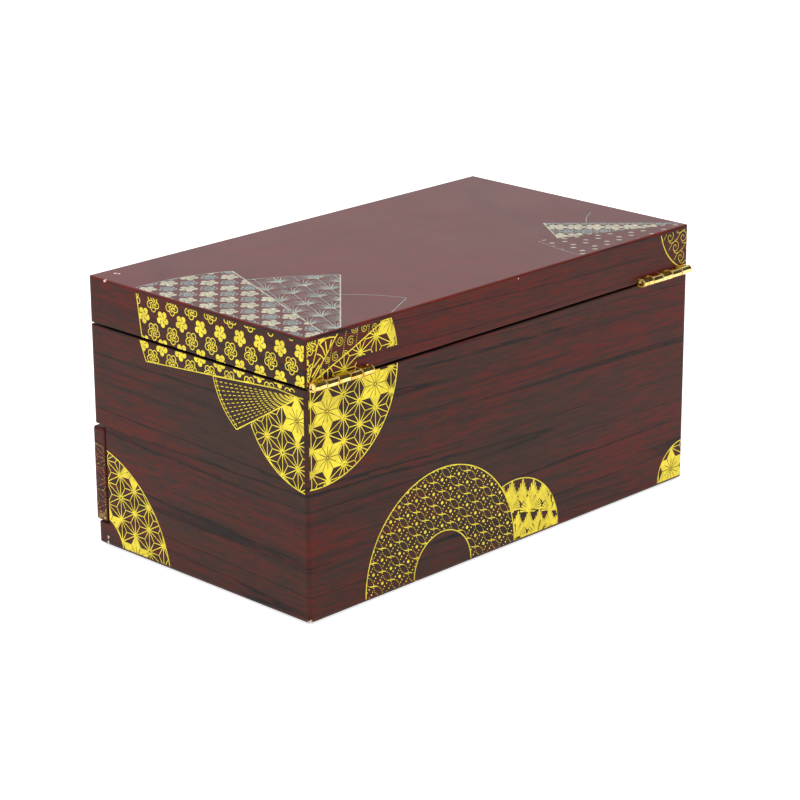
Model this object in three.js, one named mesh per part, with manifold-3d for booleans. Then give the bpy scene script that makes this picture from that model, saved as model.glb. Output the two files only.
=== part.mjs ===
// A lacquered wooden box on two levels: a hinged lid over a lined compartment, and a drawer below it.
// Millimetres. X runs along the length, Y from the drawer side (-Y) to the hinge side (+Y), Z is up.
// The origin is the centre of the felt under the box.
import * as THREE from 'three';
import { mergeVertices } from 'three/addons/utils/BufferGeometryUtils.js';
import Module from 'manifold-3d';

const wasm = await Module();
wasm.setup();

// Overall sizes
const boxLength = 260;
const boxWidth = 144.4;
const boxHeight = 132.6;
const lidHeight = 22.5;
const seamGap = 0.7;

// Boards
const boardThickness = 8;
const lidPanelThickness = 6;
const shelfThickness = 6;
const shelfGrooveDepth = 3;
const bottomThickness = 5;
const frontRailHeight = 10.75;

// Edge rounding
const cornerEase = 1.6;
const lidTopEase = 1;
const rimEase = 0.8;
const footEase = 1.6;
const frontFootEase = 3;
const openingEase = 0.5;

// Drawer
const drawerFrontHeight = 47;
const drawerFrontThickness = 8;
const drawerFrontEndInset = 0.4;
const drawerFrontCorner = 1.2;
const drawerFrontEase = 0.8;
const gapUnderDrawerFront = 0.5;
const gapOverDrawerFront = 2.1;
const drawerClosedGap = 0.15;
const drawerAjar = 1.6;
const drawerRearClearance = 2.5;
const drawerSideHeight = 44;
const drawerSideThickness = 6;
const drawerSideClearance = 0.5;
const drawerBottomThickness = 3;
const drawerBottomGrooveDepth = 3;
const drawerBottomRise = 3;
const runnerWidth = 12;
const runningGap = 0.3;

// Knob
const knobBaseRadius = 5;
const knobBaseThickness = 1.2;
const knobNeckRadius = 2.6;
const knobNeckLength = 5;
const knobHeadRadius = 5.6;
const knobHeadThickness = 5.4;
const knobBoreDepth = 6;
const knobScrewRadius = 1.5;
const knobScrewHeadRadius = 3;
const knobScrewHeadThickness = 1.6;
const knobScrewSlotWidth = 0.8;
const knobScrewEndGap = 0.6;
const screwClearance = 0.15;

// Hinges
const hingeLength = 36;
const hingeEndInset = 1.8;
const hingeRise = 0.95;
const knuckleCount = 5;
const knuckleRadius = 2.05;
const knuckleGap = 0.3;
const leafThickness = 0.8;
const leafOnRim = 6.2;
const leafCornerRadius = 0.6;
const leafFit = 0.05;
const hingeStandoff = 0.1;
const pinFit = 0.08;
const pinEndRecess = 0.5;
const rollSlitAngle = 25;

// Hinge screws
const screwCount = 3;
const screwPitch = 12;
const screwHeadRadius = 1.6;
const screwShankRadius = 0.8;
const screwLength = 7;
const screwTipLength = 1.6;
const screwSlotWidth = 0.4;
const screwSlotDepth = 0.35;
const screwFit = 0.05;

// Felt, linings, pad and bumpers
const feltThickness = 0.6;
const feltInset = 3;
const liningThickness = 2;
const liningBelowRim = 0.8;
const floorLiningThickness = 3;
const lidPadEdgeThickness = 4;
const lidPadCrown = 3;
const lidPadSideGap = 0.7;
const lidPadBulge = 0.5;
const bumperRadius = 2.5;
const bumperThickness = 0.5;
const bumperFromEnd = 10;

// Clearances between pieces that are glued or slipped together
const glueGap = 0.05;
const grooveGap = 0.1;
const liningGap = 0.1;

// Facets
const easeSegments = 3;
const turnedSegments = 28;
const screwSegments = 12;
const knuckleSegments = 14;
const overcut = 1;

// Levels and faces that several pieces share
const halfLength = boxLength / 2;
const halfWidth = boxWidth / 2;
const innerHalfLength = halfLength - boardThickness;
const innerHalfWidth = halfWidth - boardThickness;
const footLevel = feltThickness + glueGap;
const lidRimLevel = boxHeight - lidHeight;
const baseRimLevel = lidRimLevel - seamGap;
const lidPanelLevel = boxHeight - lidPanelThickness;
const railTopLevel = footLevel + frontRailHeight;
const drawerFrontLevel = railTopLevel + gapUnderDrawerFront;
const shelfLevel = drawerFrontLevel + drawerFrontHeight + gapOverDrawerFront;
const shelfTopLevel = shelfLevel + shelfThickness;
const bottomTopLevel = footLevel + bottomThickness;
const floorLiningTopLevel = shelfTopLevel + glueGap + floorLiningThickness;
const liningHalfLength = innerHalfLength - liningThickness - liningGap;
const liningHalfWidth = innerHalfWidth - liningThickness - liningGap;

const hingeAxisY = halfWidth + hingeStandoff + knuckleRadius;
const hingeAxisZ = baseRimLevel + seamGap / 2 + hingeRise;
const hingeCentreX = halfLength - hingeEndInset - hingeLength / 2;
const knuckleBore = knuckleRadius - leafThickness;
const knucklePitch = hingeLength / knuckleCount;
const leafReach = knuckleRadius + hingeStandoff + leafOnRim;
const screwLineY = -(knuckleRadius + hingeStandoff + leafOnRim / 2);

const drawerBackOfFront = -innerHalfWidth + glueGap - drawerClosedGap - drawerAjar;
const drawerFaceY = drawerBackOfFront - drawerFrontThickness;
const drawerHalfWidth = innerHalfLength - drawerSideClearance;
const drawerInnerHalfWidth = drawerHalfWidth - drawerSideThickness;
const drawerSideLevel = railTopLevel + runningGap;
const drawerSideTopLevel = drawerSideLevel + drawerSideHeight;
const drawerBottomLevel = drawerSideLevel + drawerBottomRise;
const drawerBottomTopLevel = drawerBottomLevel + drawerBottomThickness;
const drawerEndY = innerHalfWidth - drawerRearClearance - drawerAjar;
const knobLevel = drawerFrontLevel + drawerFrontHeight / 2;

// Finishes
const lacquer = { color: 0x4a2c28, roughness: 0.3, metalness: 0 };
const innerLacquer = { color: 0x2c1814, roughness: 0.45, metalness: 0 };
const drawerWood = { color: 0xb98f62, roughness: 0.6, metalness: 0 };
const brass = { color: 0xc9a24a, roughness: 0.3, metalness: 1 };
const velvet = { color: 0xd8c7a4, roughness: 0.95, metalness: 0 };
const felt = { color: 0x4b1f22, roughness: 1, metalness: 0 };
const bumperFelt = { color: 0x2a2422, roughness: 1, metalness: 0 };

// Solids

function solidOf(geometry) {
  const bare = geometry.index ? geometry.toNonIndexed() : geometry.clone();
  bare.deleteAttribute('normal');
  bare.deleteAttribute('uv');
  const merged = mergeVertices(bare, 1e-5);
  const vertProperties = new Float32Array(merged.attributes.position.array);
  const triVerts = new Uint32Array(merged.index.array);
  return new wasm.Manifold(new wasm.Mesh({ numProp: 3, vertProperties, triVerts }));
}

function geometryOf(solid) {
  const mesh = solid.getMesh();
  const geometry = new THREE.BufferGeometry();
  geometry.setAttribute('position', new THREE.BufferAttribute(new Float32Array(mesh.vertProperties), 3));
  geometry.setIndex(new THREE.BufferAttribute(new Uint32Array(mesh.triVerts), 1));
  geometry.computeVertexNormals();
  return geometry;
}

function block(x0, x1, y0, y1, z0, z1) {
  const geometry = new THREE.BoxGeometry(x1 - x0, y1 - y0, z1 - z0);
  geometry.translate((x0 + x1) / 2, (y0 + y1) / 2, (z0 + z1) / 2);
  return solidOf(geometry);
}

// A shape is extruded along one axis. Its own two axes lie along the other two:
// X takes (y, z), Y takes (x, z) and Z takes (x, y).
function prism(shape, axis, from, to) {
  const geometry = new THREE.ExtrudeGeometry(shape, {
    depth: to - from,
    bevelEnabled: false,
  });
  const turn = new THREE.Matrix4();
  if (axis === 'x') {
    turn.set(0, 0, 1, from, 1, 0, 0, 0, 0, 1, 0, 0, 0, 0, 0, 1);
  } else if (axis === 'y') {
    turn.set(1, 0, 0, 0, 0, 0, -1, to, 0, 1, 0, 0, 0, 0, 0, 1);
  } else {
    turn.makeTranslation(0, 0, from);
  }
  geometry.applyMatrix4(turn);
  return solidOf(geometry);
}

// A rectangle with one radius at its two low corners and one at its two high corners; 0 is square.
function easedRectangle(u0, u1, v0, v1, lowRadius, highRadius) {
  const corners = [
    [u0 + lowRadius, v0 + lowRadius, lowRadius, Math.PI],
    [u1 - lowRadius, v0 + lowRadius, lowRadius, Math.PI * 1.5],
    [u1 - highRadius, v1 - highRadius, highRadius, 0],
    [u0 + highRadius, v1 - highRadius, highRadius, Math.PI / 2],
  ];
  const points = [];
  for (const [u, v, radius, start] of corners) {
    const steps = radius > 0 ? easeSegments : 0;
    for (let i = 0; i <= steps; i += 1) {
      const angle = start + (i / easeSegments) * (Math.PI / 2);
      points.push(new THREE.Vector2(u + radius * Math.cos(angle), v + radius * Math.sin(angle)));
    }
  }
  return new THREE.Shape(points);
}

// A block with rounded vertical corners and its own rounding along the low and the high edges.
function easedBlock(x0, x1, y0, y1, z0, z1, cornerRadius, lowRadius, highRadius) {
  const plan = prism(easedRectangle(x0, x1, y0, y1, cornerRadius, cornerRadius), 'z', z0, z1);
  const side = prism(easedRectangle(y0, y1, z0, z1, lowRadius, highRadius), 'x', x0, x1);
  const front = prism(easedRectangle(x0, x1, z0, z1, lowRadius, highRadius), 'y', y0, y1);
  return plan.intersect(side).intersect(front);
}

// A board that lies across Y, with rounded corners seen from the front and every edge rounded over.
function easedPanel(x0, x1, y0, y1, z0, z1, cornerRadius, ease) {
  const outline = easedRectangle(x0, x1, z0, z1, cornerRadius, cornerRadius);
  const geometry = new THREE.ExtrudeGeometry(outline, {
    depth: y1 - y0 - 2 * ease,
    bevelEnabled: true,
    bevelThickness: ease,
    bevelSize: ease,
    bevelOffset: -ease,
    bevelSegments: easeSegments,
  });
  geometry.rotateX(Math.PI / 2);
  geometry.translate(0, y1 - ease, 0);
  return solidOf(geometry);
}

// A turned piece: the profile is [radius, height] pairs from the low end to the high end of the Z axis.
// It is turned half a facet, so that its flats face along the box.
function turned(profile, segments) {
  const points = profile.map(([radius, height]) => new THREE.Vector2(radius, height));
  const geometry = new THREE.LatheGeometry(points, segments);
  geometry.rotateX(Math.PI / 2);
  geometry.rotateZ(Math.PI / segments);
  return solidOf(geometry);
}

function piece(group, name, solid, finish) {
  const mesh = new THREE.Mesh(geometryOf(solid), new THREE.MeshStandardMaterial(finish));
  mesh.name = name;
  group.add(mesh);
  return mesh;
}

// Hinge parts, in the hinge's own frame: the pin runs along X through the origin, and the
// lower leaf reaches towards -Y. The upper leaf is the same leaf turned half way round Y.

function screwProfile(clearance) {
  return [
    [0, -screwLength - clearance],
    [screwShankRadius * 0.4 + clearance, -screwLength - clearance],
    [screwShankRadius + clearance, -screwLength + screwTipLength],
    [screwShankRadius + clearance, -leafThickness],
    [screwHeadRadius + clearance, 0],
  ];
}

function hingeScrew() {
  const body = turned([...screwProfile(0), [0, 0]], screwSegments);
  const slot = block(
    -screwHeadRadius - overcut,
    screwHeadRadius + overcut,
    -screwSlotWidth / 2,
    screwSlotWidth / 2,
    -screwSlotDepth,
    overcut,
  );
  return body.subtract(slot);
}

// The room that a screw takes out of the leaf and of the board under it.
function screwHole() {
  const widest = screwHeadRadius + screwFit;
  return turned([...screwProfile(screwFit), [widest, overcut], [0, overcut]], screwSegments);
}

function screwPositions() {
  return Array.from({ length: screwCount }, (_, i) => (i - (screwCount - 1) / 2) * screwPitch);
}

// The leaf's edge rolled once round the pin, with the slit where the roll ends short of the leaf.
function knuckle(index) {
  const shape = new THREE.Shape();
  const stub = -(knuckleRadius + hingeStandoff + overcut);
  const start = -Math.PI / 2;
  const end = Math.PI + THREE.MathUtils.degToRad(rollSlitAngle);
  shape.moveTo(stub, -knuckleRadius);
  for (let i = 0; i <= knuckleSegments; i += 1) {
    const angle = start + ((end - start) * i) / knuckleSegments;
    shape.lineTo(knuckleRadius * Math.cos(angle), knuckleRadius * Math.sin(angle));
  }
  for (let i = knuckleSegments; i >= 0; i -= 1) {
    const angle = start + ((end - start) * i) / knuckleSegments;
    shape.lineTo(knuckleBore * Math.cos(angle), knuckleBore * Math.sin(angle));
  }
  shape.lineTo(stub, -knuckleBore);
  shape.closePath();
  const low = -hingeLength / 2 + index * knucklePitch;
  const trimLow = index === 0 ? 0 : knuckleGap / 2;
  const trimHigh = index === knuckleCount - 1 ? 0 : knuckleGap / 2;
  return prism(shape, 'x', low + trimLow, low + knucklePitch - trimHigh);
}

function hingeLeaf(firstKnuckle) {
  const outline = easedRectangle(
    -hingeLength / 2,
    hingeLength / 2,
    -leafReach,
    -(knuckleRadius + hingeStandoff),
    leafCornerRadius,
    0,
  );
  let leaf = prism(outline, 'z', -knuckleRadius, -knuckleBore);
  for (let index = firstKnuckle; index < knuckleCount; index += 2) {
    leaf = leaf.add(knuckle(index));
  }
  for (const x of screwPositions()) {
    leaf = leaf.subtract(screwHole().translate([x, screwLineY, -knuckleBore]));
  }
  return leaf;
}

function hingePin() {
  const radius = knuckleBore - pinFit;
  const half = hingeLength / 2 - pinEndRecess;
  const profile = [[0, -half], [radius, -half], [radius, half], [0, half]];
  return turned(profile, knuckleSegments).rotate([0, 90, 0]);
}

// The pocket for a lower leaf and its screws, to be cut from the board that carries it.
function lowerMortise() {
  const halfSpan = hingeLength / 2 + leafFit;
  let pocket = block(
    -halfSpan,
    halfSpan,
    -leafReach - leafFit,
    overcut,
    -knuckleRadius - leafFit,
    overcut + hingeRise,
  );
  for (const x of screwPositions()) {
    pocket = pocket.add(screwHole().translate([x, screwLineY, -knuckleBore]));
  }
  return pocket;
}

const sides = [{ side: 'right', sign: 1 }, { side: 'left', sign: -1 }];

function cutMortises(board, upper) {
  let result = board;
  for (const { sign } of sides) {
    const pocket = upper ? lowerMortise().rotate([0, 180, 0]) : lowerMortise();
    result = result.subtract(pocket.translate([sign * hingeCentreX, hingeAxisY, hingeAxisZ]));
  }
  return result;
}

function addHingeHalf(group, sign, side, upper) {
  const half = new THREE.Group();
  half.position.set(sign * hingeCentreX, hingeAxisY, hingeAxisZ);
  half.rotation.y = upper ? Math.PI : 0;
  const level = upper ? 'upper' : 'lower';
  piece(half, `hinge_${level}_leaf_${side}`, hingeLeaf(upper ? 1 : 0), brass);
  screwPositions().forEach((x, i) => {
    const screw = piece(half, `hinge_${level}_screw_${side}_${i + 1}`, hingeScrew(), brass);
    screw.position.set(x, screwLineY, -knuckleBore);
  });
  if (!upper) {
    piece(half, `hinge_pin_${side}`, hingePin(), brass);
  }
  group.add(half);
}

// Base: the carcass, its linings and the lower halves of the hinges

// The front edge of the foot is rounder than the others.
function baseForm() {
  const form = easedBlock(
    -halfLength, halfLength, -halfWidth, halfWidth, footLevel, baseRimLevel,
    cornerEase, footEase, rimEase,
  );
  const past = halfWidth + frontFootEase;
  const side = easedRectangle(-halfWidth, past, footLevel, baseRimLevel, frontFootEase, 0);
  return form.intersect(prism(side, 'x', -halfLength, halfLength));
}

// A strip of the front, cut from the carcass form, with its own rounded edges at the drawer opening.
function frontStrip(z0, z1, lowRadius, highRadius) {
  const strip = easedRectangle(-halfWidth, -innerHalfWidth, z0, z1, lowRadius, highRadius);
  return baseForm().intersect(prism(strip, 'x', -halfLength, halfLength));
}

function shelfGroove() {
  const reachX = innerHalfLength + shelfGrooveDepth;
  const reachY = innerHalfWidth + shelfGrooveDepth;
  return block(
    -reachX, reachX, -innerHalfWidth, reachY, shelfLevel - grooveGap, shelfTopLevel + grooveGap,
  );
}

function addCarcass(base) {
  const endReach = innerHalfWidth - glueGap;
  const shelf = block(
    -innerHalfLength - shelfGrooveDepth + grooveGap, innerHalfLength + shelfGrooveDepth - grooveGap,
    -endReach, innerHalfWidth + shelfGrooveDepth - grooveGap,
    shelfLevel, shelfTopLevel,
  );
  const floorX = innerHalfLength - glueGap;
  const backBoard = baseForm()
    .intersect(block(
      -boxLength, boxLength, innerHalfWidth, boxWidth, -overcut, boxHeight,
    ))
    .subtract(shelfGroove());
  piece(base, 'front_board', frontStrip(shelfLevel, baseRimLevel, openingEase, 0), lacquer);
  piece(base, 'front_rail', frontStrip(footLevel, railTopLevel, 0, openingEase), lacquer);
  piece(base, 'back_board', cutMortises(backBoard, false), lacquer);
  for (const { side, sign } of sides) {
    const x0 = Math.min(sign * innerHalfLength, sign * boxLength);
    const x1 = Math.max(sign * innerHalfLength, sign * boxLength);
    const panel = baseForm()
      .intersect(block(x0, x1, -endReach, endReach, -overcut, boxHeight))
      .subtract(shelfGroove());
    piece(base, `end_panel_${side}`, panel, lacquer);
  }
  piece(base, 'shelf_panel', shelf, innerLacquer);
  piece(
    base, 'bottom_panel',
    block(-floorX, floorX, -endReach, endReach, footLevel, bottomTopLevel), innerLacquer,
  );
  const runnerOuter = innerHalfLength - glueGap;
  const runnerInner = runnerOuter - runnerWidth;
  for (const { side, sign } of sides) {
    const x0 = Math.min(sign * runnerInner, sign * runnerOuter);
    const x1 = Math.max(sign * runnerInner, sign * runnerOuter);
    const runner = block(x0, x1, -endReach, endReach, bottomTopLevel + glueGap, railTopLevel);
    piece(base, `drawer_runner_${side}`, runner, drawerWood);
  }
}

function addLinings(base) {
  const low = shelfTopLevel + glueGap;
  const high = baseRimLevel - liningBelowRim;
  const outerX = innerHalfLength - glueGap;
  const outerY = innerHalfWidth - glueGap;
  for (const { side, sign } of [{ side: 'back', sign: 1 }, { side: 'front', sign: -1 }]) {
    const y0 = Math.min(sign * outerY, sign * (outerY - liningThickness));
    const y1 = Math.max(sign * outerY, sign * (outerY - liningThickness));
    piece(base, `lining_${side}`, block(-outerX, outerX, y0, y1, low, high), velvet);
  }
  const endY = outerY - liningThickness - glueGap;
  for (const { side, sign } of sides) {
    const x0 = Math.min(sign * outerX, sign * (outerX - liningThickness));
    const x1 = Math.max(sign * outerX, sign * (outerX - liningThickness));
    piece(base, `lining_${side}`, block(x0, x1, -endY, endY, low, high), velvet);
  }
  const floor = easedBlock(
    -liningHalfLength, liningHalfLength, -liningHalfWidth, liningHalfWidth, low, floorLiningTopLevel,
    0, 0, liningThickness / 2,
  );
  piece(base, 'floor_lining', floor, velvet);
}

function addBase(box) {
  const base = new THREE.Group();
  addCarcass(base);
  addLinings(base);
  const feltX = halfLength - feltInset;
  const feltY = halfWidth - feltInset;
  piece(base, 'underside_felt', block(-feltX, feltX, -feltY, feltY, 0, feltThickness), felt);
  for (const { side, sign } of sides) {
    const disc = [[0, 0], [bumperRadius, 0], [bumperRadius, bumperThickness], [0, bumperThickness]];
    const bumper = piece(base, `rim_bumper_${side}`, turned(disc, screwSegments), bumperFelt);
    bumper.position.set(
      sign * (halfLength - bumperFromEnd), -halfWidth + boardThickness / 2, baseRimLevel + glueGap,
    );
    addHingeHalf(base, sign, side, false);
  }
  box.add(base);
}

// Lid: a panel over four rails, its pad and the upper halves of the hinges

function lidForm() {
  return easedBlock(
    -halfLength, halfLength, -halfWidth, halfWidth, lidRimLevel, boxHeight,
    cornerEase, rimEase, lidTopEase,
  );
}

// A padded lining whose face is crowned towards -Z and whose sides swell a little at mid-height.
function crownedPad(length, width) {
  const geometry = new THREE.BoxGeometry(length, width, lidPadEdgeThickness, 26, 14, 2);
  const position = geometry.attributes.position;
  for (let i = 0; i < position.count; i += 1) {
    const u = position.getX(i) / (length / 2);
    const v = position.getY(i) / (width / 2);
    const w = position.getZ(i) / (lidPadEdgeThickness / 2);
    const swell = (1 - w * w) * lidPadBulge;
    position.setX(i, position.getX(i) + (Math.abs(u) === 1 ? u * swell : 0));
    position.setY(i, position.getY(i) + (Math.abs(v) === 1 ? v * swell : 0));
    if (w < 0) {
      position.setZ(i, position.getZ(i) + w * lidPadCrown * (1 - u ** 6) * (1 - v ** 4));
    }
  }
  return solidOf(geometry);
}

function addLid(box) {
  const lid = new THREE.Group();
  const railTop = lidPanelLevel - glueGap;
  const endReach = innerHalfWidth - glueGap;
  const panel = lidForm().intersect(block(
    -boxLength, boxLength, -boxWidth, boxWidth, lidPanelLevel, boxHeight + overcut,
  ));
  piece(lid, 'lid_top_panel', panel, lacquer);
  const frontRail = lidForm().intersect(block(
    -boxLength, boxLength, -boxWidth, -innerHalfWidth, lidRimLevel - overcut, railTop,
  ));
  piece(lid, 'lid_front_rail', frontRail, lacquer);
  const backRail = lidForm().intersect(block(
    -boxLength, boxLength, innerHalfWidth, boxWidth, lidRimLevel - overcut, railTop,
  ));
  piece(lid, 'lid_back_rail', cutMortises(backRail, true), lacquer);
  for (const { side, sign } of sides) {
    const x0 = Math.min(sign * innerHalfLength, sign * boxLength);
    const x1 = Math.max(sign * innerHalfLength, sign * boxLength);
    const rail = lidForm().intersect(block(
      x0, x1, -endReach, endReach, lidRimLevel - overcut, railTop,
    ));
    piece(lid, `lid_end_rail_${side}`, rail, lacquer);
    addHingeHalf(lid, sign, side, true);
  }
  const padGap = 2 * (lidPadSideGap + lidPadBulge);
  const pad = crownedPad(2 * innerHalfLength - padGap, 2 * innerHalfWidth - padGap);
  const padMesh = piece(lid, 'lid_pad', pad, velvet);
  padMesh.position.z = lidPanelLevel - glueGap - lidPadEdgeThickness / 2;
  box.add(lid);
}

// Drawer: a lacquered front that overlaps the end panels, a plain wooden box behind it and a knob

function addDrawerBox(drawer) {
  const grooveReach = drawerInnerHalfWidth + drawerBottomGrooveDepth;
  const bottomGroove = block(
    -grooveReach, grooveReach,
    drawerBackOfFront - drawerBottomGrooveDepth, drawerEndY + overcut,
    drawerBottomLevel - grooveGap, drawerBottomTopLevel + grooveGap,
  );
  const knobHole = turned([
    [0, -drawerFrontThickness],
    [knobScrewRadius + screwClearance, -drawerFrontThickness],
    [knobScrewRadius + screwClearance, drawerFrontThickness],
    [0, drawerFrontThickness],
  ], turnedSegments).rotate([90, 0, 0]).translate([0, drawerBackOfFront, knobLevel]);
  const frontHalf = halfLength - drawerFrontEndInset;
  const front = easedPanel(
    -frontHalf, frontHalf, drawerFaceY, drawerBackOfFront,
    drawerFrontLevel, drawerFrontLevel + drawerFrontHeight,
    drawerFrontCorner, drawerFrontEase,
  );
  piece(drawer, 'drawer_front', front.subtract(knobHole).subtract(bottomGroove), lacquer);
  const boxY = drawerBackOfFront + glueGap;
  for (const { side, sign } of sides) {
    const x0 = Math.min(sign * drawerInnerHalfWidth, sign * drawerHalfWidth);
    const x1 = Math.max(sign * drawerInnerHalfWidth, sign * drawerHalfWidth);
    const board = block(x0, x1, boxY, drawerEndY, drawerSideLevel, drawerSideTopLevel);
    piece(drawer, `drawer_side_${side}`, board.subtract(bottomGroove), drawerWood);
  }
  const innerX = drawerInnerHalfWidth - glueGap;
  const back = block(
    -innerX, innerX, drawerEndY - drawerSideThickness, drawerEndY,
    drawerBottomTopLevel + glueGap, drawerSideTopLevel,
  );
  piece(drawer, 'drawer_back', back, drawerWood);
  const bottom = block(
    -grooveReach + grooveGap, grooveReach - grooveGap,
    drawerBackOfFront - drawerBottomGrooveDepth + grooveGap, drawerEndY,
    drawerBottomLevel, drawerBottomTopLevel,
  );
  piece(drawer, 'drawer_bottom', bottom, drawerWood);
  const lining = easedBlock(
    -drawerInnerHalfWidth + liningGap, drawerInnerHalfWidth - liningGap,
    boxY + liningGap, drawerEndY - drawerSideThickness - liningGap,
    drawerBottomTopLevel + glueGap, drawerBottomTopLevel + glueGap + floorLiningThickness,
    0, 0, liningThickness / 2,
  );
  piece(drawer, 'drawer_lining', lining, velvet);
}

// The knob stands on the drawer's face: a flat base, a hollowed neck and a domed head, with a
// blind bore for the screw that comes through the drawer front from inside.
function knob() {
  const bore = knobScrewRadius + screwClearance;
  const neckEnd = knobBaseThickness + knobNeckLength;
  const points = [[0, knobBoreDepth], [bore, knobBoreDepth], [bore, 0], [knobBaseRadius, 0]];
  points.push([knobBaseRadius, knobBaseThickness]);
  const neckSteps = 6;
  for (let i = 1; i <= neckSteps; i += 1) {
    const t = i / neckSteps;
    const pinch = Math.sin(Math.PI * t);
    const straight = knobBaseRadius + (knobHeadRadius - knobBaseRadius) * t - (1 - t);
    points.push([straight - (straight - knobNeckRadius) * pinch, knobBaseThickness + knobNeckLength * t]);
  }
  const domeSteps = 7;
  for (let i = 1; i < domeSteps; i += 1) {
    const angle = (Math.PI / 2) * (i / domeSteps);
    points.push([knobHeadRadius * Math.cos(angle), neckEnd + knobHeadThickness * Math.sin(angle)]);
  }
  points.push([0, neckEnd + knobHeadThickness]);
  return turned(points, turnedSegments);
}

function knobScrew() {
  const length = drawerFrontThickness + knobBoreDepth - knobScrewEndGap;
  const headTop = -knobScrewHeadThickness;
  const body = turned([
    [0, headTop],
    [knobScrewHeadRadius * 0.8, headTop],
    [knobScrewHeadRadius, headTop / 2],
    [knobScrewHeadRadius, 0],
    [knobScrewRadius, 0],
    [knobScrewRadius, length],
    [0, length],
  ], turnedSegments);
  const slot = block(
    -knobScrewHeadRadius - overcut, knobScrewHeadRadius + overcut,
    -knobScrewSlotWidth / 2, knobScrewSlotWidth / 2,
    headTop - overcut, headTop / 2,
  );
  return body.subtract(slot);
}

function addDrawer(box) {
  const drawer = new THREE.Group();
  addDrawerBox(drawer);
  const pull = piece(drawer, 'drawer_knob', knob(), brass);
  pull.rotation.x = Math.PI / 2;
  pull.position.set(0, drawerFaceY - glueGap, knobLevel);
  const screw = piece(drawer, 'knob_screw', knobScrew(), brass);
  screw.rotation.x = Math.PI / 2;
  screw.position.set(0, drawerBackOfFront + glueGap, knobLevel);
  box.add(drawer);
}

const box = new THREE.Group();
addBase(box);
addLid(box);
addDrawer(box);

export default box;
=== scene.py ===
import math

import bpy
from mathutils import Matrix, Vector


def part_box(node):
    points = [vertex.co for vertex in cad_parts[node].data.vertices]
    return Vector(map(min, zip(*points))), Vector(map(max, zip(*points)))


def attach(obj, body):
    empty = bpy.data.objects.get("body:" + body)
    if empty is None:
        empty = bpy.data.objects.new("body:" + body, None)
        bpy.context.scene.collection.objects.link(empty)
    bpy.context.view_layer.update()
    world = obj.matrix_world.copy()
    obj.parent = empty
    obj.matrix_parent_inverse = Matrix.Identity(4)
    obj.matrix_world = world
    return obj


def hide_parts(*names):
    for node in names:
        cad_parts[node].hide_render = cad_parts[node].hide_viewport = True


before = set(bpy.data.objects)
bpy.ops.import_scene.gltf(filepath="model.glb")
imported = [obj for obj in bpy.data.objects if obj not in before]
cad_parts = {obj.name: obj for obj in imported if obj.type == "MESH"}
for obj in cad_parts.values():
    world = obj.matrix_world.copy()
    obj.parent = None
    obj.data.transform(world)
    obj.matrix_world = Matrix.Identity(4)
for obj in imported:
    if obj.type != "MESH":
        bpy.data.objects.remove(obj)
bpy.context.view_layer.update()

bl_info = {
    "name": "Lacquer box with lid and drawer",
    "version": (1, 0, 0),
    "blender": (4, 5, 0),
    "location": "View3D > Sidebar > Lacquer Box",
    "description": "Dresses a wooden lacquer box: streaked lacquer, foil ornament, brass and velvet",
    "category": "Object",
}

MM = 0.001


def from_screen(red, green, blue):
    """A colour as it reads on a screen, 0 to 255, as Blender's linear values."""

    def linear(share):
        return share / 12.92 if share <= 0.04045 else ((share + 0.055) / 1.055) ** 2.4

    return tuple(linear(channel / 255) for channel in (red, green, blue))


def high_of(node, axis):
    """The highest corner of a CAD node along an axis, in millimetres."""
    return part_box(node)[1][axis] / MM


def low_of(node, axis):
    """The lowest corner of a CAD node along an axis, in millimetres."""
    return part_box(node)[0][axis] / MM


# Places that the ornament, the wear, and the painted highlight and shade of the lacquer follow, in
# millimetres
END_FACE = high_of("end_panel_right", 0)
BACK_FACE = high_of("back_board", 1)
TOP_FACE = high_of("lid_top_panel", 2)
BASE_TOP = high_of("back_board", 2)
LID_BOTTOM = low_of("lid_back_rail", 2)
SEAM = (BASE_TOP + LID_BOTTOM) / 2
FOOT = low_of("back_board", 2)
DRAWER_END = high_of("drawer_front", 0)
KNUCKLES = 5
KNUCKLE_FIRST = low_of("hinge_lower_leaf_right", 0)
KNUCKLE_PITCH = (high_of("hinge_lower_leaf_right", 0) - KNUCKLE_FIRST) / KNUCKLES
DRAWER_LOW = Vector(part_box("drawer_front")[0]) / MM
DRAWER_HIGH = Vector(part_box("drawer_front")[1]) / MM


# Settings


def colour_property(label, text, *screen):
    """A colour setting, given as it reads on a screen."""
    return bpy.props.FloatVectorProperty(
        name=label, description=text, subtype="COLOR", size=3, min=0.0, max=1.0,
        default=from_screen(*screen),
    )


def length_property(label, text, millimetres):
    return bpy.props.FloatProperty(
        name=label, description=text, subtype="DISTANCE", unit="LENGTH", min=0.0,
        default=millimetres * MM, precision=5,
    )


def share_property(label, text, value):
    return bpy.props.FloatProperty(
        name=label, description=text, subtype="FACTOR", min=0.0, max=1.0, default=value
    )


def angle_property(label, text, degrees):
    return bpy.props.FloatProperty(
        name=label, description=text, subtype="ANGLE", default=math.radians(degrees)
    )


def strength_property(label, text, value):
    return bpy.props.FloatProperty(name=label, description=text, min=0.0, default=value)


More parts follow.
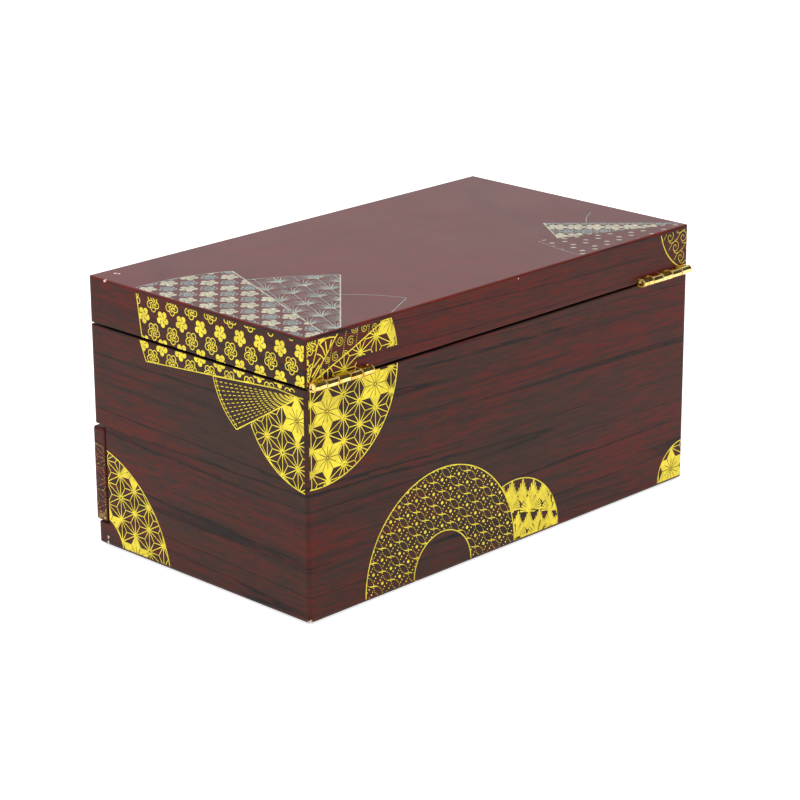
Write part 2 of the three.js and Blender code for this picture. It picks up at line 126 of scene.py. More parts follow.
class LacquerSettings(bpy.types.PropertyGroup):
    """Colours, wear, and painted highlight and shade of the lacquered boards."""

    brown: colour_property("Brown", "Main colour between the streaks", 70, 46, 38)
    red: colour_property("Red", "Where the red undercoat shows", 98, 36, 30)
    dark: colour_property("Dark", "Dark green-grey streaks", 30, 34, 33)
    lid_tint: colour_property("Lid", "The lid's more even brown", 112, 44, 42)
    # The Worn edge colour is painted edge highlight and worn red undercoat together: a lighter red
    # where the edges catch the light and where the lacquer is rubbed through.
    worn: colour_property("Worn edge", "Red undercoat along worn edges", 120, 30, 18)
    # The Rim colour is painted shade, near black: it stands for the shade in the gap at the seam and on
    # the rounded underside at the foot.
    painted_shade: colour_property("Rim", "Black lacquer at the seam and the foot", 14, 11, 11)
    chip: colour_property("Chip", "Bare filler in a chip", 236, 214, 200)
    inner: colour_property("Inside", "Plain dark lacquer inside", 60, 32, 29)
    # Edge wear sets how far the painted edge highlight and the wear reach from an edge.
    edge: length_property("Edge wear", "How far the wear reaches from an edge", 1.05)
    gloss: share_property("Roughness", "Roughness of the lacquer", 0.36)


class FoilSettings(bpy.types.PropertyGroup):
    """Colours and thickness of the stamped foil."""

    gold: colour_property("Gold", "Gold foil on the sides", 246, 222, 50)
    # The Pale colour is painted reflection on a real print: the top's gold foil is given the pale tone
    # it takes from mirroring the white room at a grazing angle.
    pale: colour_property("Pale", "Pale foil on the lid", 206, 204, 178)
    silver: colour_property("Blue-grey", "Blue-grey foil on the lid", 160, 178, 174)
    thickness: length_property("Thickness", "Thickness of the foil and its glue", 0.03)
    lift: length_property("Lift", "Least gap that keeps the foil off the lacquer", 0.004)
    line: length_property("Line", "Width of a border line", 0.55)


class LiningSettings(bpy.types.PropertyGroup):
    """Velvet, felt and the padded lining of the lid."""

    velvet: colour_property("Velvet", "Short champagne pile", 196, 174, 132)
    felt: colour_property("Felt", "Dark red felt under the base", 92, 26, 28)
    bumper: colour_property("Bumper", "Dark felt discs on the rim", 50, 46, 42)
    swell: length_property("Swell", "Most that the padding may bulge", 1.6)
    voxel: length_property("Mesh", "Size of the padding's mesh", 2.0)


class MetalSettings(bpy.types.PropertyGroup):
    """Brass of the hinges and the knob, and the drawer's wood."""

    brass: colour_property("Brass", "Polished brass", 252, 232, 150)
    aged: colour_property("Aged brass", "Warmer, tarnished brass", 230, 178, 72)
    wood: colour_property("Drawer wood", "Planed and oiled wood", 196, 156, 110)
    grain: colour_property("Wood grain", "Darker late wood", 158, 112, 70)


class StudioSettings(bpy.types.PropertyGroup):
    """Camera and light."""

    azimuth: angle_property("Azimuth", "The camera's turn round the box", 134.47)
    elevation: angle_property("Elevation", "The camera's height as an angle", 18.65)
    roll: angle_property("Roll", "The camera's tilt", -0.324)
    distance: length_property("Distance", "From the camera to the box", 1334.8)
    sideways: length_property("Sideways", "The camera's shift to the right", 0.4)
    upwards: length_property("Upwards", "The camera's shift up", 53.74)
    lens: bpy.props.FloatProperty(
        name="Lens", description="Focal length on a 36 mm sensor", subtype="DISTANCE_CAMERA",
        default=122.39,
    )
    fill: strength_property("Room light", "Even light from all round", 0.62)
    lamps: strength_property("Lamps", "Strength of the soft lamps", 1.0)


SETTINGS = {
    "box_lacquer": LacquerSettings,
    "box_foil": FoilSettings,
    "box_lining": LiningSettings,
    "box_metal": MetalSettings,
    "box_studio": StudioSettings,
}


# Short ways to build materials


class Tree:
    """Adds nodes to a material's, a world's or a group's node tree."""

    def __init__(self, tree):
        self.tree = tree

    def add(self, kind, inputs=None, **settings):
        node = self.tree.nodes.new(kind)
        for name, value in settings.items():
            setattr(node, name, value)
        for name, value in (inputs or {}).items():
            self.feed(node.inputs[name], value)
        return node

    def feed(self, socket, value):
        if isinstance(value, bpy.types.NodeSocket):
            self.tree.links.new(value, socket)
        elif socket.type == "RGBA" and len(value) == 3:
            socket.default_value = (*value, 1.0)
        else:
            socket.default_value = value

    def math(self, operation, first, second=0.0, third=0.5, clamp=False):
        inputs = {0: first, 1: second, 2: third}
        return self.add("ShaderNodeMath", inputs, operation=operation, use_clamp=clamp).outputs[0]

    def times(self, first, second):
        return self.math("MULTIPLY", first, second)

    def minus(self, first, second):
        return self.math("SUBTRACT", first, second)

    def larger(self, first, second):
        return self.math("MAXIMUM", first, second)

    def vector(self, operation, first, second=(0.0, 0.0, 0.0)):
        node = self.add("ShaderNodeVectorMath", {0: first, 1: second}, operation=operation)
        return node.outputs["Value" if operation == "DISTANCE" else "Vector"]

    def noise(self, place, scale, detail=2.0, roughness=0.5):
        inputs = {"Vector": place, "Scale": scale, "Detail": detail, "Roughness": roughness}
        return self.add("ShaderNodeTexNoise", inputs).outputs["Fac"]

    def fade(self, value, start, end, first=0.0, last=1.0):
        inputs = {"Value": value, "From Min": start, "From Max": end, "To Min": first, "To Max": last}
        return self.add("ShaderNodeMapRange", inputs, interpolation_type="SMOOTHSTEP").outputs[0]

    def mix(self, share, first, second):
        inputs = {0: share, 6: first, 7: second}
        return self.add("ShaderNodeMix", inputs, data_type="RGBA").outputs[2]

    def split(self, place):
        return tuple(self.add("ShaderNodeSeparateXYZ", {0: place}).outputs)

    def join(self, x, y, z):
        return self.add("ShaderNodeCombineXYZ", {0: x, 1: y, 2: z}).outputs[0]


class Surface(Tree):
    """A material of one Principled shader, whose nodes follow places on the object."""

    def __init__(self, name):
        self.material = bpy.data.materials.new(name)
        self.material.use_nodes = True
        self.material.node_tree.nodes.clear()
        super().__init__(self.material.node_tree)
        self.place = self.add("ShaderNodeTexCoord").outputs["Object"]

    def group(self, name, inputs=None):
        """Adds a node group that reads the place, with other values of its own."""
        node = self.add("ShaderNodeGroup", node_tree=bpy.data.node_groups[name])
        for label, value in {"Place": self.place, **(inputs or {})}.items():
            self.feed(node.inputs[label], value)
        return node.outputs

    def finish(self, inputs, relief=None, strength=0.0, depth=0.0):
        """Feeds the shader, with a bump where there is relief, and returns the material."""
        if relief is not None:
            bump = {"Height": relief, "Strength": strength, "Distance": depth}
            inputs["Normal"] = self.add("ShaderNodeBump", bump).outputs[0]
        shader = self.add("ShaderNodeBsdfPrincipled", inputs)
        self.add("ShaderNodeOutputMaterial", {"Surface": shader.outputs[0]})
        return self.material


def toned(colour, share):
    """A colour made darker or lighter."""
    return tuple(min(1.0, share * part) for part in colour)


def start_group(name, inputs, outputs):
    """Makes a node group that reads a place and other inputs, and puts out values.

    Returns its tree, its inputs and its outputs."""
    group = bpy.data.node_groups.new(name, "ShaderNodeTree")
    for label, value in {"Place": (0.0, 0.0, 0.0), **inputs}.items():
        kind = "NodeSocketVector" if isinstance(value, tuple) else "NodeSocketFloat"
        socket = group.interface.new_socket(name=label, in_out="INPUT", socket_type=kind)
        socket.default_value = value
    for label in outputs:
        group.interface.new_socket(name=label, in_out="OUTPUT", socket_type="NodeSocketFloat")
    tree = Tree(group)
    return tree, tree.add("NodeGroupInput").outputs, tree.add("NodeGroupOutput").inputs


def build_streak_group():
    """Grain that runs along every side face and lies quiet on the lid, as in sliced veneer."""
    tree, given, result = start_group(
        "Streaked grain", {"Slope": 0.03, "Wave": 0.004}, ("Fine", "Band", "Patch", "Line")
    )
    x, y, z = tree.split(given["Place"])
    swell = tree.minus(tree.noise(given["Place"], 9.0, 1.0), 0.5)
    height = tree.math("ADD", z, tree.times(tree.minus(y, x), given["Slope"]))
    height = tree.math("ADD", height, tree.times(swell, given["Wave"]))

    def stretched(along, across, seed, detail, roughness=0.5):
        scaled = tree.join(
            tree.math("MULTIPLY_ADD", x, along, 0.5), tree.times(y, along), tree.times(height, across)
        )
        place = tree.vector("ADD", scaled, (seed, seed * 1.7, seed * 0.6))
        return tree.noise(place, 1.0, detail, roughness)

    fine = stretched(75.0, 980.0, 3.1, 3.0, 0.65)
    tree.feed(result["Fine"], fine)
    tree.feed(result["Band"], stretched(5.0, 230.0, 11.4, 4.0, 0.68))
    tree.feed(result["Patch"], stretched(7.5, 30.0, 7.9, 3.0, 0.6))
    contour = stretched(0.8, 52.0, 23.7, 1.0, 0.4)
    frayed = tree.times(tree.minus(fine, 0.5), 0.03)
    offset = tree.math("PINGPONG", tree.math("ADD", contour, frayed), 0.07)
    thread = tree.fade(offset, 0.0, 0.01, 1.0, 0.0)
    broken = tree.fade(stretched(7.0, 60.0, 5.3, 2.0), 0.36, 0.52)
    tree.feed(result["Line"], tree.times(thread, broken))


def build_edge_group():
    """How lighter red a point is, as painted edge highlight and worn undercoat together: most along the
    level edges of a block, nothing inside its faces.
    """
    blank = {"Middle": (0.0, 0.0, 0.0), "Half size": (0.1, 0.1, 0.1), "Reach": 0.001, "Upright": 0.3}
    tree, given, result = start_group("Worn and highlit edges", blank, ("Wear and highlight",))
    from_middle = tree.vector("ABSOLUTE", tree.vector("SUBTRACT", given["Place"], given["Middle"]))
    x, y, z = tree.split(tree.vector("SUBTRACT", given["Half size"], from_middle))
    level = tree.larger(tree.math("MINIMUM", x, y), z)
    patchy = tree.fade(tree.noise(given["Place"], 60.0, 3.0, 0.6), 0.3, 0.72, 0.25, 1.5)
    reach = tree.times(given["Reach"], patchy)
    upright = tree.times(tree.fade(tree.larger(x, y), 0.0, reach, 1.0, 0.0), given["Upright"])
    tree.feed(result["Wear and highlight"], tree.larger(tree.fade(level, 0.0, reach, 1.0, 0.0), upright))


def build_chip_group():
    """A small ragged chip round one point."""
    blank = {"Centre": (0.0, 0.0, 0.0), "Size": 0.001}
    tree, given, result = start_group("Chip", blank, ("Mask",))
    distance = tree.vector("DISTANCE", given["Place"], given["Centre"])
    ragged = tree.fade(tree.noise(given["Place"], 900.0, 2.0), 0.3, 0.7, 0.55, 1.25)
    limit = tree.times(given["Size"], ragged)
    tree.feed(result["Mask"], tree.math("LESS_THAN", distance, limit))


def build_pile_group():
    """Short fibres of velvet or felt: fine flecks and broad brushed patches."""
    tree, given, result = start_group("Pile", {"Fibre": 2600.0, "Brush": 32.0}, ("Fleck", "Brushed"))
    fibres = tree.vector("MULTIPLY", given["Place"], (1.0, 1.0, 0.55))
    tree.feed(result["Fleck"], tree.noise(fibres, given["Fibre"], 2.0, 0.7))
    tree.feed(result["Brushed"], tree.noise(given["Place"], given["Brush"], 2.0, 0.55))


def build_handling_group():
    """Faint smears and fine scratches that break up a gloss."""
    tree, given, result = start_group("Handling", {"Smear": 28.0}, ("Smear", "Scratch"))
    tree.feed(result["Smear"], tree.noise(given["Place"], given["Smear"], 3.0, 0.6))
    drawn = tree.vector("MULTIPLY", given["Place"], (1.0, 1.0, 7.0))
    tree.feed(result["Scratch"], tree.noise(drawn, 420.0, 2.0, 0.5))


def build_knuckle_group():
    """Where the knuckles of both hinges end, counted from the middle of the box outwards."""
    tree, given, result = start_group("Knuckle ends", {"First": 0.09, "Pitch": 0.007}, ("Mask",))
    along = tree.math("ABSOLUTE", tree.split(given["Place"])[0])
    count = tree.math("DIVIDE", tree.minus(along, given["First"]), given["Pitch"])
    away = tree.math("ABSOLUTE", tree.minus(count, tree.math("ROUND", count)))
    away = tree.times(away, given["Pitch"])
    tree.feed(result["Mask"], tree.fade(away, 0.3 * MM, 0.6 * MM, 1.0, 0.0))


# Where the lacquer is chipped and how large each chip is, in millimetres
CHIPS = (
    ((END_FACE, -60.3, TOP_FACE - 0.3), 1.0),
    ((119.9, -65.2, TOP_FACE), 0.9),
    ((119.0, -63.4, TOP_FACE), 0.8),
    ((END_FACE, -65.4, 4.8), 0.8),
    ((END_FACE, -65.7, 2.1), 0.8),
    ((END_FACE - 0.4, BACK_FACE - 0.4, FOOT + 0.6), 1.3),
    ((62.6, BACK_FACE - 0.3, FOOT + 0.5), 1.0),
    ((-5.5, BACK_FACE, TOP_FACE - 1.6), 0.3),
)


def lacquer_material(name, low, high):
    """Streaked brown and red lacquer, redder on the back and glossy on top, with a lighter red along a
    block's edges that is painted highlight and worn undercoat together, and painted shade at the seam
    and the foot.
    """
    look = bpy.context.scene.box_lacquer
    tree = Surface(name)
    x, y, height = tree.split(tree.place)
    grain = tree.group("Streaked grain")
    red_share = tree.times(tree.math("ADD", grain["Patch"], grain["Fine"]), 0.5)
    red_share = tree.fade(red_share, 0.44, 0.62, 0.04, 0.9)

    def reaching(place, face, start=1.0, stop=0.5):
        return tree.fade(place, (face - start) * MM, (face - stop) * MM)

    on_back = reaching(y, BACK_FACE)
    on_lid = tree.math("GREATER_THAN", height, SEAM * MM)
    far = tree.fade(x, 0.0, -END_FACE * MM, 0.0, 0.2)
    redder = tree.times(on_back, tree.larger(tree.times(on_lid, 0.45), far))
    on_end = reaching(x, END_FACE)
    browner = tree.times(on_end, tree.fade(y, -40.0 * MM, 10.0 * MM, 0.0, 0.25))
    red_share = tree.math("SUBTRACT", tree.math("ADD", red_share, redder), browner, clamp=True)

    middle = (Vector(low) + Vector(high)) / 2
    half = (Vector(high) - Vector(low)) / 2
    block = {"Middle": middle * MM, "Half size": half * MM, "Reach": look.edge}
    top = reaching(height, TOP_FACE, 0.5, 0.2)
    # Painted shade: a near-black band on either side of the seam, where the gap between base and lid
    # lies in shade, and along the foot, where the rounded underside lies in shade.
    from_seam = tree.math("ABSOLUTE", tree.minus(height, SEAM * MM))
    painted_shade = tree.fade(from_seam, 0.5 * MM, 0.75 * MM, 0.9, 0.0)
    foot = tree.fade(height, (FOOT + 0.5) * MM, (FOOT + 0.9) * MM, 0.9, 0.0)
    bare = 0.0
    for centre, size in CHIPS:
        chip = tree.group("Chip", {"Centre": Vector(centre) * MM, "Size": size * MM})
        bare = tree.larger(bare, chip["Mask"])

    colour = tree.mix(red_share, look.brown[:], look.red[:])
    for share, coat in (
        (tree.times(tree.fade(grain["Band"], 0.5, 0.7), 0.5), look.dark),
        (tree.times(tree.fade(grain["Fine"], 0.58, 0.4), 0.3), look.dark),
        (tree.times(grain["Line"], 0.85), toned(look.dark, 0.6)),
        (tree.times(top, 0.6), look.lid_tint),
        # Painted edge highlight and worn red undercoat, one lighter red along the block's edges
        (tree.group("Worn and highlit edges", block)["Wear and highlight"], look.worn),
        # Painted shade at the seam and the foot
        (tree.larger(painted_shade, foot), look.painted_shade),
        (bare, look.chip),
    ):
        colour = tree.mix(share, colour, coat[:])
    marks = tree.group("Handling")
    rough = tree.math("MULTIPLY_ADD", marks["Smear"], 0.12, look.gloss - 0.06)
    inputs = {
        "Base Color": colour,
        "Roughness": tree.math("ADD", rough, tree.times(bare, 0.4)),
        "IOR": 1.5,
        "Specular IOR Level": 0.1,
        "Coat Weight": tree.times(top, 0.26),
        "Coat Roughness": 0.3,
    }
    relief = tree.minus(tree.times(grain["Fine"], 0.5), bare)
    return tree.finish(inputs, relief, strength=0.25, depth=0.08 * MM)


def foil_material(name, colour, metal):
    """Stamped foil, slightly uneven in colour and gloss."""
    tree = Surface(name)
    marks = tree.group("Handling", {"Smear": 160.0})
    shade = tree.mix(tree.fade(marks["Smear"], 0.3, 0.7), toned(colour, 0.8), toned(colour, 1.12))
    rough = tree.fade(marks["Scratch"], 0.2, 0.8, 0.36, 0.5)
    inputs = {"Base Color": shade, "Roughness": rough, "Metallic": metal}
    return tree.finish(inputs, marks["Scratch"], strength=0.2, depth=0.05 * MM)


def worn_foil_material():
    """Gold print rubbed thin, with the lacquer showing through."""
    scene = bpy.context.scene
    tree = Surface("worn_gold_foil")
    left = tree.fade(tree.noise(tree.place, 1100.0, 3.0, 0.7), 0.5, 0.62)
    colour = tree.mix(left, scene.box_lacquer.red[:], toned(scene.box_foil.gold, 0.6))
    return tree.finish({"Base Color": colour, "Metallic": tree.times(left, 0.6), "Roughness": 0.45})


def brass_material():
    """Polished brass with faint turning marks, duller round the ends of the knuckles."""
    look = bpy.context.scene.box_metal
    tree = Surface("polished_brass")
    marks = tree.group("Handling", {"Smear": 240.0})
    shade = tree.mix(tree.fade(marks["Smear"], 0.42, 0.7), look.brass[:], look.aged[:])
    polish = tree.fade(marks["Scratch"], 0.2, 0.8, 0.1, 0.2)
    ends = tree.group("Knuckle ends", {"First": KNUCKLE_FIRST * MM, "Pitch": KNUCKLE_PITCH * MM})
    rough = tree.math("MULTIPLY_ADD", ends["Mask"], 0.5, polish)
    inputs = {"Base Color": shade, "Metallic": 1.0, "Roughness": rough}
    return tree.finish(inputs, marks["Scratch"], strength=0.15, depth=0.04 * MM)


def cloth_material(name, colour, fibre, sheen, depth):
    """Velvet or felt, with light caught by its fibres."""
    tree = Surface(name)
    pile = tree.group("Pile", {"Fibre": fibre})
    lighter = toned(colour, 1.18)
    flecked = tree.mix(tree.fade(pile["Fleck"], 0.3, 0.72), toned(colour, 0.62), colour)
    brushed = tree.times(tree.fade(pile["Brushed"], 0.36, 0.72), 0.22)
    inputs = {
        "Base Color": tree.mix(brushed, flecked, lighter),
        "Roughness": 0.92,
        "Specular IOR Level": 0.15,
        "Sheen Weight": sheen,
        "Sheen Roughness": 0.4,
        "Sheen Tint": lighter,
    }
    return tree.finish(inputs, pile["Fleck"], strength=0.55, depth=depth)


def inner_material():
    """Plain dark lacquer of the shelf, the bottom and the runners."""
    inner = bpy.context.scene.box_lacquer.inner[:]
    tree = Surface("inner_lacquer")
    smear = tree.group("Handling")["Smear"]
    inputs = {
        "Base Color": tree.mix(smear, inner, toned(inner, 0.7)),
        "Roughness": tree.fade(smear, 0.2, 0.8, 0.42, 0.58),
    }
    return tree.finish(inputs, tree.group("Streaked grain")["Fine"], strength=0.2, depth=0.06 * MM)


def drawer_wood_material():
    """Planed, oiled wood with rings that run along the boards."""
    look = bpy.context.scene.box_metal
    tree = Surface("drawer_wood")
    grain = tree.group("Streaked grain", {"Slope": 0.01, "Wave": 0.012})
    rings = tree.times(tree.fade(grain["Band"], 0.35, 0.65), 0.7)
    pores = tree.times(tree.fade(grain["Fine"], 0.58, 0.72), 0.55)
    colour = tree.mix(rings, look.wood[:], look.grain[:])
    colour = tree.mix(pores, colour, toned(look.grain, 0.6))
    inputs = {"Base Color": colour, "Roughness": tree.fade(grain["Fine"], 0.3, 0.7, 0.5, 0.64)}
    return tree.finish(inputs, grain["Fine"], strength=0.3, depth=0.1 * MM)


def dress(material, *words):
    """Puts a material on the CAD nodes whose names begin with any of the words."""
    for name in sorted(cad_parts):
        if name.startswith(words):
            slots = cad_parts[name].data.materials
            slots.clear()
            slots.append(material)


# Flat ornament


class Face:
    """An outer face of the box, with one direction along it, one up it and one out of it."""

    def __init__(self, along, up, out, level):
        self.along = Vector(along)
        self.up = Vector(up)
        self.out = Vector(out)
        self.level = level
        self.turned = self.along.cross(self.up).dot(self.out) < 0

    def place(self, point, height):
        flat = self.along * point[0] + self.up * point[1]
        return (flat + self.out * (self.level + height)) * MM


def part_way(first, second, share):
    """The point a share of the way from one point to another."""
    return (first[0] + (second[0] - first[0]) * share, first[1] + (second[1] - first[1]) * share)


def half_way(first, second):
    """The middle between two points."""
    return ((first[0] + second[0]) / 2, (first[1] + second[1]) / 2)


def on_grid(start, across, up, columns, rows):
    """The point that many columns and rows from the start of a slanting grid."""
    return tuple(start[k] + across[k] * columns + up[k] * rows for k in (0, 1))


def grid(start, across, up, columns, rows):
    """The points of a slanting grid, one column after another."""
    return [on_grid(start, across, up, i, j) for i in columns for j in rows]


def polar(centre, radius, degrees):
    """The point at a distance and an angle from a centre."""
    angle = math.radians(degrees)
    return (centre[0] + radius * math.cos(angle), centre[1] + radius * math.sin(angle))


def shifted(outline, place):
    """An outline drawn round (0, 0), moved to a place."""
    return [(place[0] + x, place[1] + y) for x, y in outline]


def sides_of(outline):
    """The two ends of each side, from the side that closes the outline."""
    return zip([outline[-1], *outline], outline)


def area_of(outline):
    """The area of an outline, below zero where it runs clockwise."""
    return sum(one[0] * two[1] - two[0] * one[1] for one, two in sides_of(outline)) / 2


def line_through(start, end):
    """The normal on the right of a line, and how far along that normal the line lies."""
    length = math.dist(start, end)
    normal = ((end[1] - start[1]) / length, (start[0] - end[0]) / length)
    return normal, normal[0] * start[0] + normal[1] * start[1]


def tangent(middle, centre, radius, side):
    """The line that touches a circle where it is nearest to a small motif."""
    length = math.dist(middle, centre) or 1.0
    way = ((middle[0] - centre[0]) / length, (middle[1] - centre[1]) / length)
    reach = radius + way[0] * centre[0] + way[1] * centre[1]
    return (way[0] * side, way[1] * side), reach * side


def cut(outline, normal, reach):
    """Keeps the part of an outline where the distance along the normal is no more than reach."""
    kept = []
    depths = [normal[0] * point[0] + normal[1] * point[1] - reach for point in outline]
    for index, depth in enumerate(depths):
        before = depths[index - 1]
        if (depth <= 0) != (before <= 0):
            kept.append(part_way(outline[index - 1], outline[index], before / (before - depth)))
        if depth <= 0:
            kept.append(outline[index])
    return kept


def inset(outline, distance):
    """A convex outline drawn in from all its sides."""
    inner = outline
    for ends in sides_of(outline):
        normal, reach = line_through(*(ends if area_of(outline) > 0 else ends[::-1]))
        inner = cut(inner, normal, reach - distance)
    return inner


class Region:
    """The part of a face that one motif may cover, bounded by lines and circles."""

    def __init__(self, limits=()):
        self.limits = limits

    def limited(self, *limits):
        """Adds bounds, each a normal and a reach worked out from the middle of a motif."""
        return Region((*self.limits, *limits))

    def left_of(self, start, end):
        """Only what lies to the left on the way from start to end."""
        line = line_through(start, end)
        return self.limited(lambda middle: line)

    def between(self, low, high, axis):
        """Only what lies between two levels, across the face or up it."""
        up = (1.0, 0.0) if axis == 0 else (0.0, 1.0)
        down = (-up[0], -up[1])
        return self.limited(lambda middle: (up, high), lambda middle: (down, -low))

    def within(self, centre, radius):
        """Only what lies inside a circle."""
        return self.limited(lambda middle: tangent(middle, centre, radius, 1))

    def beyond(self, centre, radius):
        """Only what lies outside a circle."""
        return self.limited(lambda middle: tangent(middle, centre, radius, -1))

    def trim(self, outline):
        count = len(outline)
        middle = (sum(p[0] for p in outline) / count, sum(p[1] for p in outline) / count)
        for limit in self.limits:
            outline = cut(outline, *limit(middle))
            if len(outline) < 3:
                return []
        return outline


class FoilSheet:
    """Gathers thin plates of foil on one face and makes them one mesh."""

    # Scraps smaller than this, in square millimetres, are left out
    LEAST_AREA = 0.01
    # The tops of the plates differ by up to this share of the thickness, in this many steps
    SPREAD = 0.5
    STEPS = 9

    def __init__(self, face):
        look = bpy.context.scene.box_foil
        self.face = face
        self.lift = look.lift / MM
        self.thickness = look.thickness / MM
        self.line = look.line / MM
        self.points = []
        self.faces = []
        self.plates = 0

    def plate(self, outline, region):
        """Adds one closed plate. Neighbours differ a little in height, so no two faces coincide."""
        outline = region.trim(outline)
        if len(outline) < 3 or abs(area_of(outline)) < self.LEAST_AREA:
            return
        if (area_of(outline) < 0) != self.face.turned:
            outline = outline[::-1]
        top = self.thickness * (1 + self.SPREAD * (self.plates % self.STEPS) / self.STEPS)
        self.plates += 1
        count = len(outline)
        low = [len(self.points) + index for index in range(count)]
        high = [index + count for index in low]
        for height in (self.lift, top):
            self.points += [self.face.place(point, height) for point in outline]
        self.faces += [low[::-1], high]
        for index in range(count):
            after = (index + 1) % count
            self.faces.append([low[index], low[after], high[after], high[index]])

    def stroke(self, points, width, region, end_width=None):
        """A line of foil through points, which may taper."""
        end_width = width if end_width is None else end_width
        last = len(points) - 1
        sides = []
        for index, (x, y) in enumerate(points):
            before = points[max(index - 1, 0)]
            after = points[min(index + 1, last)]
            length = math.dist(before, after) or 1.0
            half = (width + (end_width - width) * index / last) / 2
            aside = (after[1] - before[1]) / length * half
            rise = (after[0] - before[0]) / length * half
            sides.append(((x - aside, y + rise), (x + aside, y - rise)))
        for one, two in zip(sides, sides[1:]):
            self.plate([one[1], two[1], two[0], one[0]], region)

    def dot(self, centre, radius, region, corners=8):
        self.plate([polar(centre, radius, 360 * k / corners) for k in range(corners)], region)

    def arc(self, centre, radius, start, end, width, region):
        """A curved line from one angle to another, in degrees, in steps of about 2 mm."""
        count = max(2, round(abs(math.radians(end - start)) * radius / 2.0))
        points = [polar(centre, radius, start + (end - start) * k / count) for k in range(count + 1)]
        self.stroke(points, width, region)

    def make(self, name, body, slot, material):
        mesh = bpy.data.meshes.new(name)
        mesh.from_pydata(self.points, [], self.faces)
        mesh.update()
        mesh.materials.append(material)
        piece = bpy.data.objects.new(name, mesh)
        bpy.context.scene.collection.objects.link(piece)
        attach(piece, body)


def hemp_leaves(sheet, region, start, across, up, filled=(), width=0.56):
    """The hemp-leaf lattice: six-rayed stars that share their edges, some of them solid."""
    reach = 14
    solid = [nearest_node(start, across, up, place) for place in filled]

    def node(i, j):
        return (start[0] + across * i, start[1] + up * (j + (i % 2) / 2))

    def half_ray(corner, end, share):
        if corner not in solid:
            sheet.stroke([node(*corner), end], width, region, width * share)

    for i in range(-reach, reach):
        for j in range(-reach, reach):
            step = j if i % 2 == 0 else j + 1
            here, above, high, low = (i, j), (i, j + 1), (i + 1, step), (i + 1, step - 1)
            for corners in ((here, high, above), (here, low, high)):
                points = [node(*corner) for corner in corners]
                centre = (sum(x for x, y in points) / 3, sum(y for x, y in points) / 3)
                for corner in corners:
                    half_ray(corner, centre, 0.6)
            for other in (above, high, low):
                middle = half_way(node(*here), node(*other))
                half_ray(here, middle, 0.66)
                half_ray(other, middle, 0.66)
            if here not in solid:
                sheet.dot(node(*here), width * 1.6, region, 6)
    for i, j in solid:
        solid_star(sheet, region, node(i, j), up)


def nearest_node(start, across, up, place):
    """The lattice numbers of the node nearest to a place."""
    i = round((place[0] - start[0]) / across)
    j = round((place[1] - start[1]) / up - (i % 2) / 2)
    return i, j


def solid_star(sheet, region, centre, size):
    """A star of twelve filled leaves, with thin gaps between them."""
    margin = 0.16
    for k in range(6):
        tip = polar(centre, size, 90 + 60 * k)
        for side in (-1, 1):
            valley = polar(centre, size / math.sqrt(3), 90 + 60 * k + 30 * side)
            sheet.plate(inset([centre, tip, valley], margin), region)
    sheet.dot(centre, 0.5, region, 6)


PETAL_ANGLES = (274, 346, 58, 130, 202)


def petal_rim(size, facing, reach):
    """The outer curve of one petal round (0, 0), from one notch to the next."""
    lobe = polar((0, 0), 2.5 * size, facing)
    return [polar(lobe, reach * size, facing - 112 + 224 * k / 8) for k in range(9)]


def petal(size, facing, gap):
    """The outline round (0, 0) of one petal of a twisted plum blossom."""
    left, right = [], []
    for radius, share in ((0.3, 0.0), (1.0, 0.25), (1.6, 0.8), (2.1, 1.2)):
        twist = -42 * (1 - radius / 2.6) ** 0.7
        shy = math.degrees(gap * share / radius)
        right.append(polar((0, 0), radius * size, facing + 36 + twist - shy))
        left.append(polar((0, 0), radius * size, facing - 36 + twist + shy))
    return [*left, *petal_rim(size, facing, 1.74 - gap), *reversed(right)]


def blossom(sheet, region, place, size=1.0):
    """A solid twisted plum blossom: five petals with curved notches between them."""
    for facing in PETAL_ANGLES:
        sheet.plate(shifted(petal(size, facing, 0.28), place), region)
    sheet.dot(place, 0.6 * size, region)


def medallion(sheet, region, place, size=1.0, width=0.48):
    """A twisted plum blossom drawn in line: its rim, and two curved lines in each petal."""
    for facing in PETAL_ANGLES:
        sheet.stroke(shifted(petal_rim(size, facing, 1.55), place), width, region)
        for swings, taper in (((-38, -16, 16, 36), 1.0), ((-52, -30, -14, -4), 0.75)):
            radii = (0.5, 1.3, 2.1, 2.7)
            line = [polar((0, 0), r * size, facing + swing) for r, swing in zip(radii, swings)]
            sheet.stroke(shifted(line, place), width * taper, region)


def blossom_lattice(solid, drawn, region, start, across, up, columns, rows, size):
    """Rows of blossoms with medallions between them."""
    for place in grid(start, across, up, columns, rows):
        after = on_grid(place, across, up, 1, 1)
        blossom(solid, region, place, size)
        medallion(drawn, region, half_way(place, after), 0.88 * size, width=0.62)


def coins_and_dots(sheet, region, start, radius, count):
    """Overlapping coins: drawn arcs one way, dotted arcs the other and a large dot in each coin."""
    for i in range(-count, count):
        for j in range(-count, count):
            if (i + j) % 2:
                continue
            centre = (start[0] + radius * i, start[1] + radius * j)
            sheet.dot(centre, 0.85, region)
            for turn in (0, 180):
                bow = [polar(centre, radius, turn + 90 + swing) for swing in (0, 9, 18, 27)]
                sheet.stroke(bow, 0.64, region, 0.4)
                for swing, size in ((8, 0.32), (27, 0.3), (41, 0.42), (60, 0.42)):
                    sheet.dot(polar(centre, radius, turn + swing), size, region, 6)
                for swing in (36, 46, 57, 69, 81):
                    sheet.dot(polar(centre, radius, turn + 90 + swing), 0.24, region, 6)


def needle(sheet, region, base, length, facing, wide, tip):
    """A blunt pine needle, widest above its middle."""

    def edge(side):
        levels = ((0.58, wide), (0.96, tip), (1.0, tip * 0.4))
        return [polar(polar(base, length * share, facing), half, side) for share, half in levels]

    sheet.plate([base, *edge(facing - 90), *reversed(edge(facing + 90))], region)


